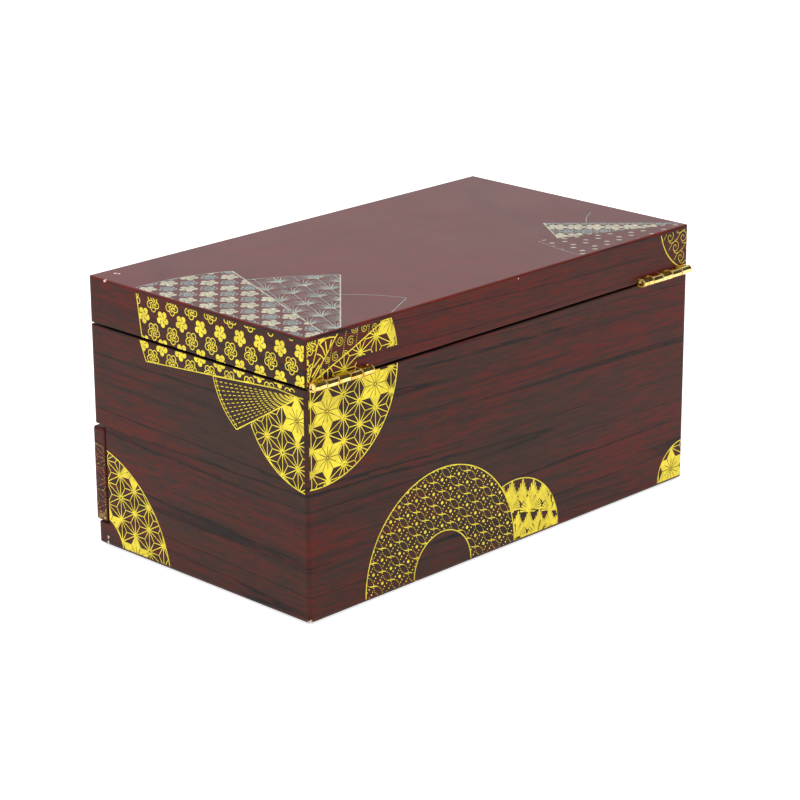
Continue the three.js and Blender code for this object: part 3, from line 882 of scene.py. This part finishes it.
def pine_spire(sheet, region, base, height, lean):
    """The tall needles in the middle of a pine bush."""
    needle(sheet, region, base, height, lean, 0.05 * height, 0.55)
    for swing, share in ((6, 0.88), (12, 0.76), (18, 0.68), (25, 0.64), (32, 0.62), (39, 0.58)):
        for side in (-1, 1):
            needle(sheet, region, base, height * share, lean + side * swing, 0.04 * height, 0.35)


def pine_fan(sheet, region, base, reach, lean):
    """The low needles of a pine bush, with slits between them."""
    sheet.dot(base, 0.45 * reach, region, 16)
    for facing in range(lean - 89, lean + 90, 11):
        sheet.plate([base, *(polar(base, reach, facing + swing) for swing in (-4, 4))], region)


def pine_row(sheet, region, bases, height):
    """A row of pine bushes on one ledge, every second one in front of its neighbours."""
    reach = 7.6
    lean = 98
    for k, base in enumerate(bases):
        if k % 2:
            pine_spire(sheet, region, base, height, lean)
            pine_fan(sheet, region, base, reach, lean)
            continue
        behind = region
        for neighbour in bases[max(0, k - 1):k] + bases[k + 1:k + 2]:
            behind = behind.beyond(neighbour, reach)
        pine_spire(sheet, behind, base, height, lean)


def pine_spray(solid, fine, region, base, length, facing):
    """A fountain of fine needles that bend outwards, with a bright foot and a stem below it."""
    needles = 13
    for k in range(needles):
        swing = -90 + 180 * k / (needles - 1)
        points = [
            polar(base, length * share, facing + swing * (0.66 + 0.34 * share))
            for share in (0.0, 0.35, 0.7, 1.0)
        ]
        fine.stroke(points, 0.42, region, 0.26)
    for swing in (-75, -50, -25, 0, 25, 50, 75):
        needle(solid, region, base, length * (0.9 - 0.006 * abs(swing)), facing + swing, 0.3, 0.14)
    solid.dot(base, 0.1 * length, region)
    fine.stroke([base, polar(base, length * 1.1, facing + 180)], 0.4, region, 0.24)


def scroll(sheet, region, centre, size, width, turn=0.0, turns=1.8):
    """A small spiral that unwinds from its centre."""
    shares = [k / 20 for k in range(21)]
    points = [polar(centre, size * (0.16 + 0.84 * s), turn + 360 * turns * s) for s in shares]
    sheet.stroke(points, width, region)


def running_scroll(sheet, region, centre):
    """One curl of a running scroll: a spiral, the stem it leaves and the tail to the next one."""
    scroll(sheet, region, centre, 3.2, 0.38, turn=196, turns=-1.4)
    stem = [(5.0, -0.8), (2.6, 2.0), (-2.1, 4.4)]
    tail = [(1.0, -1.3), (0.7, -2.4), (-0.6, -3.3), (-2.1, -3.2)]
    sheet.stroke(shifted(stem, centre), 0.34, region)
    sheet.stroke(shifted(tail, centre), 0.38, region)


def seed(sheet, region, place, along, out):
    """Two half-moons back to back, a little apart."""
    moon = ((-1.6, 2.2), (-0.9, 3.2), (0.0, 3.6), (0.9, 3.2), (1.6, 2.2), (0.0, 2.0))
    for side in (-1, 1):
        sheet.plate([on_grid(place, along, out, reach, rise * side) for reach, rise in moon], region)


def dotted(sheet, region, start, end, pitch, radius):
    """A row of dots."""
    count = max(1, round(math.dist(start, end) / pitch))
    for k in range(count + 1):
        sheet.dot(part_way(start, end, k / count), radius, region, 6)


def dashed(sheet, region, start, end, dash, gap, width):
    """A line of dashes."""
    length = math.dist(start, end)
    run = 0.0
    while run < length:
        ends = (run, min(run + dash, length))
        sheet.stroke([part_way(start, end, place / length) for place in ends], width, region)
        run += dash + gap


# How far the ornament on the sides stays from the seam, the foot and the top edge, in millimetres
SEAM_MARGIN = 0.45
FOOT_MARGIN = 1.6
TOP_MARGIN = 1.9

# Circles that two sheets of foil share: the middle and the radius, in millimetres
STAR_DISC = ((122.52, 111.58), 48.48)
STAR_RING = ((-79.78, -8.62), 59.32)


def base_zone(start, end):
    """The base part of a side face, from start to end along it."""
    return Region().between(FOOT + FOOT_MARGIN, BASE_TOP - SEAM_MARGIN, 1).between(start, end, 0)


def lid_zone(start, end):
    """The lid part of a side face, from start to end along it."""
    return Region().between(LID_BOTTOM + SEAM_MARGIN, TOP_FACE - TOP_MARGIN, 1).between(start, end, 0)


def end_base_ornament(sheet):
    """Dashed fan, star disc, star ring and the foot of the blossom band, on the base's end."""
    line = sheet.line
    whole = base_zone(-BACK_FACE + 8.3, 70.5)
    left, low, right = (-36.3, 107.4), (-33.0, 99.5), (53.2, 106.2)
    band = whole.left_of(left, low).left_of(low, right)
    for k in range(8):
        blossom(sheet, band, (-34.75 + 12.9 * k, 107.9 + 0.4 * k))
        medallion(sheet, band, (-28.1 + 12.9 * k, 102.3 + 0.35 * k))
    sheet.stroke([(-36.9, 109.0), left, low], line, whole)
    sheet.stroke([low, right], line * 0.8, whole)

    apex, fan_top, fan_low = (67.7, 105.2), (12.7, 102.8), (27.3, 81.2)
    fan_centre, fan_radius = (48.48, 111.28), 36.92
    ribs = 12
    for k in range(1, ribs):
        edge = polar(fan_centre, fan_radius - 0.6, 193.4 + (234.6 - 193.4) * k / ribs)
        dashed(sheet, whole, edge, apex, dash=1.8, gap=1.4, width=0.34)
    sheet.stroke([fan_top, (54.0, 106.3), apex], 0.42, whole)
    sheet.stroke([fan_low, apex], line, whole)
    sheet.arc(fan_centre, fan_radius, 193.2, 234.8, 0.42, whole)
    sheet.arc(fan_centre, fan_radius - 1.5, 194.6, 234.0, 0.24, whole)

    disc_circle = (74.97, 103.77), 42.14
    disc = whole.within(*disc_circle).left_of(apex, fan_low)
    hemp_leaves(sheet, disc, (47.05, 83.3), 9.65, 11.0, filled=((66.5, 94.6),))
    sheet.arc(*disc_circle, 205, 266, line, whole.left_of(apex, fan_low))

    hole_circle = (-72.41, -1.94), 18.44
    ring = whole.within(*STAR_RING).beyond(*hole_circle)
    filled = ((-45.2, 44.0), (-45.2, 0.0), (-65.0, 11.0))
    hemp_leaves(sheet, ring, (-45.2, 33.05), 9.8, 11.0, filled)
    sheet.arc(*STAR_RING, 0, 80, line, whole)
    sheet.arc(*hole_circle, -5, 80, line, whole)


def end_lid_ornament(sheet):
    """The blossom band on the lid's end."""
    line = sheet.line
    whole = lid_zone(-BACK_FACE, 71.3)
    left, low = (-38.3, 130.9), (-35.2, 110.0)
    band = whole.left_of(left, low)
    for k in range(9):
        rise = 0.55 * k
        blossom(sheet, band, (-33.4 + 12.85 * k, 121.45 + rise))
        blossom(sheet, band, (-33.6 + 12.85 * k, 108.4 + 0.45 * k))
        medallion(sheet, band, (-26.9 + 12.9 * k, 115.0 + rise))
        medallion(sheet, band, (-26.9 + 12.9 * k, 128.3 + 0.85 * k))
    medallion(sheet, band, (-39.8, 128.2))
    sheet.stroke([left, low], line, whole)


def back_base_ornament(sheet):
    """Star disc, ring of coins, pine disc and the small star disc, on the back of the base."""
    line = sheet.line
    whole = base_zone(-128.8, 128.6)
    filled = ((117.6, 97.6), (117.6, 76.1), (88.2, 102.7))
    hemp_leaves(sheet, whole.within(*STAR_DISC), (127.5, 91.8), -9.86, 10.72, filled)
    sheet.arc(*STAR_DISC, 178, 283, line, whole)

    ring_circle = (45.47, 2.43), 49.56
    hole_circle = (44.96, 1.91), 18.98
    ring = whole.within(*ring_circle).beyond(*hole_circle)
    coins_and_dots(sheet, ring, (45.42, 46.17), 5.6, 20)
    sheet.arc(*ring_circle, -3, 183, line, whole)
    sheet.arc(*hole_circle, -3, 183, line, whole)

    pine_circle = (-4.4, 2.0), 30.8
    pine = whole.beyond(ring_circle[0], ring_circle[1] + 0.3)
    half_disc = pine.within(*pine_circle)
    sheet.arc(*pine_circle, 0, 180, line, pine)
    bases = [(7.2 - 7.6 * k, 19.9 - 1.8 * k) for k in range(6)]
    pine_row(sheet, half_disc.left_of((-40.0, 7.9), (10.0, 19.6)), bases, 15.6)
    bases = [(2.5 - 7.6 * k, 4.2 - 1.3 * k) for k in range(6)]
    pine_row(sheet, half_disc, bases, 13.6)
    ledge_line = [(-0.6, 18.1), (-8.0, 17.4), (-15.6, 14.7), (-23.3, 13.6), (-33.5, 10.8)]
    sheet.stroke(ledge_line, 0.8, half_disc)
    sheet.stroke([(-3.9, 2.9), (-35.0, 2.9)], 1.0, half_disc)

    small_circle = (-130.07, 1.66), 19.3
    small = whole.within(*small_circle)
    hemp_leaves(sheet, small, (-121.3, 7.5), 9.6, 11.0, filled=((-121.3, 7.5),), width=0.5)
    sheet.arc(*small_circle, 0, 90, line, whole)


def back_lid_ornament(sheet, fine):
    """The corner's fans, the star disc's top and the scroll disc, on the back of the lid."""
    line = sheet.line
    whole = lid_zone(-128.8, 129.2)
    apex_a, top_a = (128.5, 112.75), (121.6, 130.9)
    apex_b, top_b = (126.6, 112.3), (110.0, 131.5)
    apex_c, bend_c, top_c = (125.75, 112.5), (99.9, 122.75), (79.1, 131.9)
    corner = whole.left_of(top_a, apex_a)
    for place in ((127.0, 128.6), (127.6, 117.3)):
        medallion(sheet, corner, place, 0.95)
    for place in ((131.7, 122.9), (131.9, 111.6), (120.9, 122.4)):
        blossom(sheet, corner, place)
    sheet.stroke([apex_a, top_a], line, whole)

    ribs = whole.left_of(apex_a, top_a).left_of(top_b, apex_b)
    for rib in (
        [(121.8, 128.8), (119.6, 126.0), (118.25, 122.75)], [(118.0, 129.0), (117.2, 123.6)],
        [(114.3, 128.8), (116.2, 123.6)], [(123.25, 124.4), (121.0, 123.4), (119.1, 121.1)],
        [(125.4, 118.8), (121.2, 122.2)], [(126.4, 114.6), (121.9, 119.2)],
    ):
        sheet.stroke(rib, 0.6, ribs)
    sheet.stroke([(121.4, 128.6), (117.6, 130.1), (115.3, 130.2), (110.9, 129.2)], 0.6, ribs)
    sheet.plate([(123.7, 131.7), (116.4, 131.7), (120.75, 128.8)], whole)
    sheet.stroke([apex_b, top_b], line, whole)

    scrolls = whole.left_of(apex_b, top_b).left_of((79.1, 131.9), apex_c)
    for place, size in (
        ((109.3, 127.1), 2.5), ((102.8, 125.6), 2.4), ((94.3, 129.6), 2.3), ((100.2, 130.4), 2.0),
        ((112.2, 120.6), 2.3), ((120.0, 115.9), 1.5), ((88.2, 128.8), 2.0), ((117.2, 120.4), 1.6),
        ((106.4, 120.6), 2.0), ((83.5, 131.0), 1.4),
    ):
        scroll(fine, scrolls, place, size, 0.4, turn=place[0] * 37)
    for start, end in (
        ((105.3, 131.5), (108.2, 118.6)), ((113.4, 128.7), (116.6, 116.3)),
        ((98.2, 131.5), (99.5, 124.2)), ((91.2, 131.5), (91.9, 126.6)),
        ((119.5, 121.5), (121.8, 114.5)),
    ):
        dotted(fine, scrolls, start, end, pitch=0.95, radius=0.27)
    sheet.stroke([apex_c, bend_c, top_c], line, whole)

    stars = whole.within(*STAR_DISC).left_of(apex_c, (79.1, 131.9))
    near_stars = stars.between(109.0, 117.4, 1).between(99.5, 128.0, 0)
    hemp_leaves(sheet, near_stars, (107.0, 113.6), -9.86, 10.9)
    far_stars = stars.between(117.4, 131.0, 1)
    hemp_leaves(sheet, far_stars, (107.0, 113.6), -9.86, 10.9, filled=((77.6, 129.8),))
    sheet.arc(*STAR_DISC, 150, 174, line, whole.between(117.4, 131.0, 1))

    scroll_circle = (-136.01, 137.38), 27.81
    disc = whole.within(*scroll_circle)
    for place in grid((-115.8, 128.8), (-10.1, -1.8), (-4.2, -5.8), range(3), range(-1, 5)):
        running_scroll(fine, disc, place)
    sheet.arc(*scroll_circle, 270, 360, line, whole)


def lid_top_ornament(pale, silver):
    """Blossom wedge and pine wedge, and a small wedge and seeds at the far corner, on the lid's top."""
    margin = 1.1
    whole = Region().between(margin - END_FACE, END_FACE - margin, 0)
    whole = whole.between(margin - BACK_FACE, BACK_FACE - margin, 1)
    bloom_corner, bloom_foot = (80.2, -28.3), (118.6, 71.7)
    bloom_circle = (123.18, 46.45), 86.58
    bloom = whole.within(*bloom_circle).left_of(bloom_foot, bloom_corner)
    blossom_lattice(
        pale, silver, bloom, (113.4, -21.5), (-12.85, -0.35), (-0.45, 13.1),
        range(-2, 4), range(-3, 9), 1.13,
    )
    pale.stroke([bloom_corner, bloom_foot], 0.7, whole)
    silver.arc(*bloom_circle, 240, 276, 0.5, whole)

    pine_corner, pine_foot = (50.2, 12.3), (108.4, 71.7)
    pine_circle = (170.16, 144.17), 178.6
    past_bloom = whole.left_of(bloom_corner, bloom_foot)
    pine = past_bloom.within(*pine_circle).left_of(pine_foot, pine_corner)
    for base in grid((93.8, 35.8), (12.2, 4.9), (-4.35, 12.5), range(-5, 5), range(-4, 4)):
        pine_spray(pale, silver, pine, base, 10.2, 246)
    pale.stroke([pine_corner, pine_foot], 0.6, whole)
    silver.arc(*pine_circle, 220, 245, 0.5, past_bloom.left_of(pine_foot, pine_corner))

    thin_circle = (108.78, 77.22), 55.14
    thin = whole.left_of(pine_corner, pine_foot)
    silver.arc(*thin_circle, 180, 260, 0.4, thin.between(-80, 60.6, 1))
    silver.stroke([(56.2, 60.6), (77.6, 71.7)], 0.4, whole)

    far_apex, near_left, near_right = (-129.9, 69.0), (-82.6, 19.5), (-66.3, 43.0)
    dense = whole.left_of(near_left, near_right).left_of(near_right, far_apex)
    dense = dense.left_of(far_apex, near_left)
    blossom_lattice(
        pale, silver, dense, (-81.8, 29.3), (-6.25, 6.6), (12.1, 10.8), range(-2, 9), range(-2, 4), 1.25
    )
    pale.stroke([near_left, near_right], 0.8, whole)
    silver.stroke([near_left, far_apex], 0.5, whole)
    seeds = whole.left_of((-56.0, 40.0), (-50.5, 71.0)).left_of(far_apex, near_right)
    for place in grid((-60.8, 57.6), (-10.3, -1.1), (-5.0, 9.1), range(-2, 9), range(-3, 4)):
        seed(pale, seeds, place, (-0.7, 0.72), (0.75, 0.66))
    silver.stroke([(-55.8, 39.5), (-52.3, 54.9), (-50.5, 70.4)], 0.34, whole)
    silver.stroke([(-98.3, 33.4), (-103.9, 28.6), (-108.6, 25.4), (-114.1, 22.9)], 0.4, whole)


def drawer_end_ornament(sheet):
    """What is left of the star ring on the end of the drawer's front."""
    whole = Region().between(DRAWER_LOW.y + 0.9, DRAWER_HIGH.y - 0.6, 0)
    whole = whole.between(DRAWER_LOW.z + 0.9, DRAWER_HIGH.z - 0.9, 1)
    ring = whole.within(*STAR_RING)
    hemp_leaves(sheet, ring, (-45.2, 33.05), 9.8, 11.0, filled=((-65.0, 11.0),), width=0.4)
    sheet.arc(*STAR_RING, 60, 100, 0.5, whole)


# Operators


class BOX_OT_lacquer(bpy.types.Operator):
    """Lacquers the boards of the base and the lid, and the drawer's front"""

    bl_idname = "lacquerbox.lacquer"
    bl_label = "Lacquered boards"

    def execute(self, context):
        low = (-END_FACE, -BACK_FACE, FOOT)
        high = (END_FACE, BACK_FACE, TOP_FACE)
        block = lacquer_material("box_lacquer", low, high)
        front = lacquer_material("drawer_lacquer", DRAWER_LOW, DRAWER_HIGH)
        dress(block, "front_board", "front_rail", "back_board", "end_panel")
        dress(block, "lid_front_rail", "lid_back_rail", "lid_end_rail", "lid_top")
        dress(front, "drawer_front")
        dress(inner_material(), "shelf_panel", "bottom_panel", "drawer_runner")
        return {"FINISHED"}


class BOX_OT_metal(bpy.types.Operator):
    """Gives the hinges, the knob and their screws polished brass"""

    bl_idname = "lacquerbox.metal"
    bl_label = "Brass"

    def execute(self, context):
        dress(brass_material(), "hinge_", "drawer_knob", "knob_screw")
        return {"FINISHED"}


class BOX_OT_drawer(bpy.types.Operator):
    """Gives the drawer's box its planed wood"""

    bl_idname = "lacquerbox.drawer"
    bl_label = "Drawer box"

    def execute(self, context):
        dress(drawer_wood_material(), "drawer_side", "drawer_back", "drawer_bottom")
        return {"FINISHED"}


class BOX_OT_linings(bpy.types.Operator):
    """Lines the box with velvet and puts felt under it"""

    bl_idname = "lacquerbox.linings"
    bl_label = "Velvet and felt"

    def execute(self, context):
        look = context.scene.box_lining
        velvet = ("lining_", "floor_lining", "drawer_lining")
        for name, colour, fibre, sheen, depth, nodes in (
            ("champagne_velvet", look.velvet, 2600.0, 0.6, 0.2, velvet),
            ("dark_red_felt", look.felt, 1500.0, 0.2, 0.3, ["underside_felt"]),
            ("bumper_felt", look.bumper, 1800.0, 0.2, 0.3, ["rim_bumper"]),
        ):
            dress(cloth_material(name, colour[:], fibre, sheen, depth * MM), *nodes)
        return {"FINISHED"}


def swollen(piece, most):
    """Blows a closed shell up as cloth, held where it is glued, and limits how far it moves."""
    glued_depth = 1.2 * MM
    pressure = 4.0
    frames = 20
    rest = [vertex.co.copy() for vertex in piece.data.vertices]
    glued = piece.vertex_groups.new(name="glued")
    top = max(point.z for point in rest)
    held = [index for index, point in enumerate(rest) if point.z > top - glued_depth]
    glued.add(held, 1.0, "REPLACE")
    cloth = piece.modifiers.new("padding", "CLOTH")
    cloth.settings.vertex_group_mass = "glued"
    cloth.settings.use_pressure = True
    cloth.settings.uniform_pressure_force = pressure
    cloth.settings.effector_weights.gravity = 0.0
    cloth.settings.quality = 5
    for number in range(1, frames + 1):
        bpy.context.scene.frame_set(number)
    depsgraph = bpy.context.evaluated_depsgraph_get()
    moved = [vertex.co.copy() for vertex in piece.evaluated_get(depsgraph).data.vertices]
    piece.modifiers.remove(cloth)
    bpy.context.scene.frame_set(1)
    for vertex, start, end in zip(piece.data.vertices, rest, moved):
        step = end - start
        if step.length > most:
            step *= most / step.length
        vertex.co = start + step


class BOX_OT_padding(bpy.types.Operator):
    """Makes the padded velvet lining inside the lid"""

    bl_idname = "lacquerbox.padding"
    bl_label = "Padded lid lining"

    def execute(self, context):
        look = context.scene.box_lining
        low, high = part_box("lid_pad")
        swell = look.swell
        size = high - low
        bpy.ops.object.select_all(action="DESELECT")
        bpy.ops.mesh.primitive_cube_add(size=1.0)
        piece = context.active_object
        piece.name = "padded_lid_lining"
        piece.scale = (size.x - 2 * swell, size.y - 2 * swell, size.z - swell)
        piece.location = ((low.x + high.x) / 2, (low.y + high.y) / 2, high.z - piece.scale.z / 2)
        bpy.ops.object.transform_apply(location=True, rotation=True, scale=True)
        bevel = piece.modifiers.new("soft edge", "BEVEL")
        bevel.width = 2.2 * MM
        bevel.segments = 3
        bpy.ops.object.modifier_apply(modifier=bevel.name)
        remesh = piece.modifiers.new("even mesh", "REMESH")
        remesh.mode = "VOXEL"
        remesh.voxel_size = look.voxel
        bpy.ops.object.modifier_apply(modifier=remesh.name)
        swollen(piece, swell)
        smooth = piece.modifiers.new("smooth", "SMOOTH")
        smooth.factor = 0.5
        smooth.iterations = 3
        bpy.ops.object.modifier_apply(modifier=smooth.name)
        for vertex in piece.data.vertices:
            vertex.co.z = min(vertex.co.z, high.z)
        bpy.ops.object.shade_smooth()
        piece.data.materials.append(bpy.data.materials["champagne_velvet"])
        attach(piece, "lid")
        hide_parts("lid_pad")
        return {"FINISHED"}


class BOX_OT_side_foil(bpy.types.Operator):
    """Stamps the gold ornament on the end and the back"""

    bl_idname = "lacquerbox.side_foil"
    bl_label = "Gold foil on the sides"

    def execute(self, context):
        look = context.scene.box_foil
        gold = foil_material("gold_foil", look.gold[:], metal=0.3)
        soft_gold = foil_material("soft_gold_foil", toned(look.gold, 0.66), metal=0.3)
        end = Face((0, 1, 0), (0, 0, 1), (1, 0, 0), END_FACE)
        back = Face((1, 0, 0), (0, 0, 1), (0, 1, 0), BACK_FACE)
        drawer_end = Face((0, 1, 0), (0, 0, 1), (1, 0, 0), DRAWER_END)
        for name, body, face, draw in (
            ("end_base_foil", "base", end, end_base_ornament),
            ("end_lid_foil", "lid", end, end_lid_ornament),
            ("back_base_foil", "base", back, back_base_ornament),
        ):
            sheet = FoilSheet(face)
            draw(sheet)
            sheet.make(name, body, "gold_foil", gold)
        bold, fine = FoilSheet(back), FoilSheet(back)
        back_lid_ornament(bold, fine)
        bold.make("back_lid_foil", "lid", "gold_foil", gold)
        fine.make("back_lid_fine_foil", "lid", "gold_foil", soft_gold)
        worn = FoilSheet(drawer_end)
        drawer_end_ornament(worn)
        worn.make("drawer_end_foil", "drawer", "gold_foil", worn_foil_material())
        return {"FINISHED"}


class BOX_OT_top_foil(bpy.types.Operator):
    """Stamps the ornament on top of the lid, in a pale colour that is painted reflection on gold foil
    """

    bl_idname = "lacquerbox.top_foil"
    bl_label = "Pale foil on the lid"

    def execute(self, context):
        look = context.scene.box_foil
        top = Face((1, 0, 0), (0, 1, 0), (0, 0, 1), TOP_FACE)
        pale, silver = FoilSheet(top), FoilSheet(top)
        lid_top_ornament(pale, silver)
        # The pale foil's colour is painted reflection: the white room that gold foil mirrors at a
        # grazing angle, put into its colour.
        for sheet, name, colour in ((pale, "pale", look.pale), (silver, "silver", look.silver)):
            material = foil_material(f"{name}_foil", colour[:], metal=0.35)
            sheet.make(f"top_{name}_foil", "lid", "pale_foil", material)
        return {"FINISHED"}


def soft_lamp(name, place, size, power):
    """A square lamp that faces a point inside the box."""
    lamp = bpy.data.lights.new(name, "AREA")
    lamp.shape = "RECTANGLE"
    lamp.size = size
    lamp.size_y = size
    lamp.energy = power
    holder = bpy.data.objects.new(name, lamp)
    holder.location = place
    aim = Vector((0.0, 0.0, 0.05)) - Vector(place)
    holder.rotation_euler = aim.to_track_quat("-Z", "Y").to_euler()
    bpy.context.scene.collection.objects.link(holder)


def studio_world(fill):
    """Even light, a white room to the eye and, for gloss, a darker side behind the camera."""
    world = bpy.data.worlds.new("studio")
    bpy.context.scene.world = world
    world.use_nodes = True
    world.node_tree.nodes.clear()
    tree = Tree(world.node_tree)
    x, y, z = tree.split(tree.add("ShaderNodeTexCoord").outputs["Generated"])
    paths = tree.add("ShaderNodeLightPath").outputs
    even = tree.add("ShaderNodeBackground", {"Color": (1.0, 1.0, 1.0), "Strength": fill})
    white = tree.add("ShaderNodeBackground", {"Color": (1.0, 1.0, 1.0), "Strength": 1.0})
    behind = tree.fade(y, -0.25, 0.25, 1.0, 0.0)
    low = tree.fade(z, 0.72, 0.9, 0.0, 1.0)
    seen = tree.larger(behind, low)
    strength = tree.math("MULTIPLY_ADD", seen, 0.8, 0.06)
    gloss = tree.add("ShaderNodeBackground", {"Color": (1.0, 0.95, 0.97), "Strength": strength})
    mirrored = tree.larger(paths["Is Glossy Ray"], paths["Is Transmission Ray"])
    first = tree.add("ShaderNodeMixShader", {0: mirrored, 1: even.outputs[0], 2: gloss.outputs[0]})
    second = tree.add(
        "ShaderNodeMixShader", {0: paths["Is Camera Ray"], 1: first.outputs[0], 2: white.outputs[0]}
    )
    tree.feed(tree.add("ShaderNodeOutputWorld").inputs["Surface"], second.outputs[0])


def floor_material():
    """Pale floor that reads white to the eye and keeps a soft shadow."""
    tree = Surface("pale_floor")
    speck = tree.fade(tree.noise(tree.place, 40.0, 3.0, 0.6), 0.3, 0.7)
    paths = tree.add("ShaderNodeLightPath").outputs
    eye = tree.larger(paths["Is Camera Ray"], paths["Is Glossy Ray"])
    eye = tree.larger(eye, paths["Is Transmission Ray"])
    inputs = {
        "Base Color": tree.mix(speck, (0.84, 0.84, 0.84), (0.86, 0.86, 0.86)),
        "Roughness": 0.9,
        "Specular IOR Level": 0.0,
        "Emission Color": (1.0, 1.0, 1.0),
        "Emission Strength": tree.times(eye, 0.7),
    }
    return tree.finish(inputs)


class BOX_OT_studio(bpy.types.Operator):
    """Sets the floor, the soft lamps and the camera"""

    bl_idname = "lacquerbox.studio"
    bl_label = "Studio"

    def execute(self, context):
        scene = context.scene
        look = scene.box_studio
        scene.view_settings.view_transform = "Standard"
        bpy.ops.object.select_all(action="DESELECT")
        bpy.ops.mesh.primitive_plane_add(size=8.0, location=(0.0, 0.0, -0.0002))
        floor = context.active_object
        floor.name = "floor"
        floor.data.materials.append(floor_material())
        studio_world(look.fill)
        for name, place, size, power in (
            ("overhead", (0.1, 0.1, 1.5), 1.6, 9.0),
            ("end_side", (1.7, 0.3, 0.9), 1.1, 6.0),
            ("back_side", (0.3, 1.7, 0.8), 1.1, 5.0),
        ):
            soft_lamp(name, place, size, power * look.lamps)

        turn, rise = look.azimuth, look.elevation
        right = Vector((math.cos(turn), math.sin(turn), 0.0))
        ahead = Vector((math.sin(turn), -math.cos(turn), 0.0))
        back = ahead * math.cos(rise) + Vector((0.0, 0.0, math.sin(rise)))
        up = back.cross(right)
        level = right * math.cos(look.roll) + up * math.sin(look.roll)
        upright = up * math.cos(look.roll) - right * math.sin(look.roll)
        lens = bpy.data.cameras.new("camera")
        lens.lens = look.lens
        lens.sensor_width = 36.0
        camera = bpy.data.objects.new("camera", lens)
        place = level * look.sideways + upright * look.upwards + back * look.distance
        axes = Matrix((level, upright, back)).transposed()
        camera.matrix_world = Matrix.Translation(place) @ axes.to_4x4()
        scene.collection.objects.link(camera)
        scene.camera = camera
        return {"FINISHED"}


class BOX_PT_panel(bpy.types.Panel):
    """Lists the steps that dress the box, in order"""

    bl_idname = "BOX_PT_panel"
    bl_label = "Lacquer Box"
    bl_space_type = "VIEW_3D"
    bl_region_type = "UI"
    bl_category = "Lacquer Box"

    def draw(self, context):
        for step in STEPS:
            self.layout.operator(step.bl_idname)
        for name, group in SETTINGS.items():
            box = self.layout.box()
            box.label(text=group.__doc__)
            for field in group.__annotations__:
                box.prop(getattr(context.scene, name), field)


STEPS = (
    BOX_OT_lacquer,
    BOX_OT_metal,
    BOX_OT_drawer,
    BOX_OT_linings,
    BOX_OT_padding,
    BOX_OT_side_foil,
    BOX_OT_top_foil,
    BOX_OT_studio,
)


def register():
    for name, group in SETTINGS.items():
        bpy.utils.register_class(group)
        setattr(bpy.types.Scene, name, bpy.props.PointerProperty(type=group))
    for step in STEPS:
        bpy.utils.register_class(step)
    bpy.utils.register_class(BOX_PT_panel)


def unregister():
    bpy.utils.unregister_class(BOX_PT_panel)
    for step in reversed(STEPS):
        bpy.utils.unregister_class(step)
    for name, group in SETTINGS.items():
        delattr(bpy.types.Scene, name)
        bpy.utils.unregister_class(group)


def main():
    register()
    build_streak_group()
    build_edge_group()
    build_chip_group()
    build_pile_group()
    build_handling_group()
    build_knuckle_group()
    for step in STEPS:
        family, action = step.bl_idname.split(".")
        getattr(getattr(bpy.ops, family), action)()


if __name__ == "__main__":
    main()
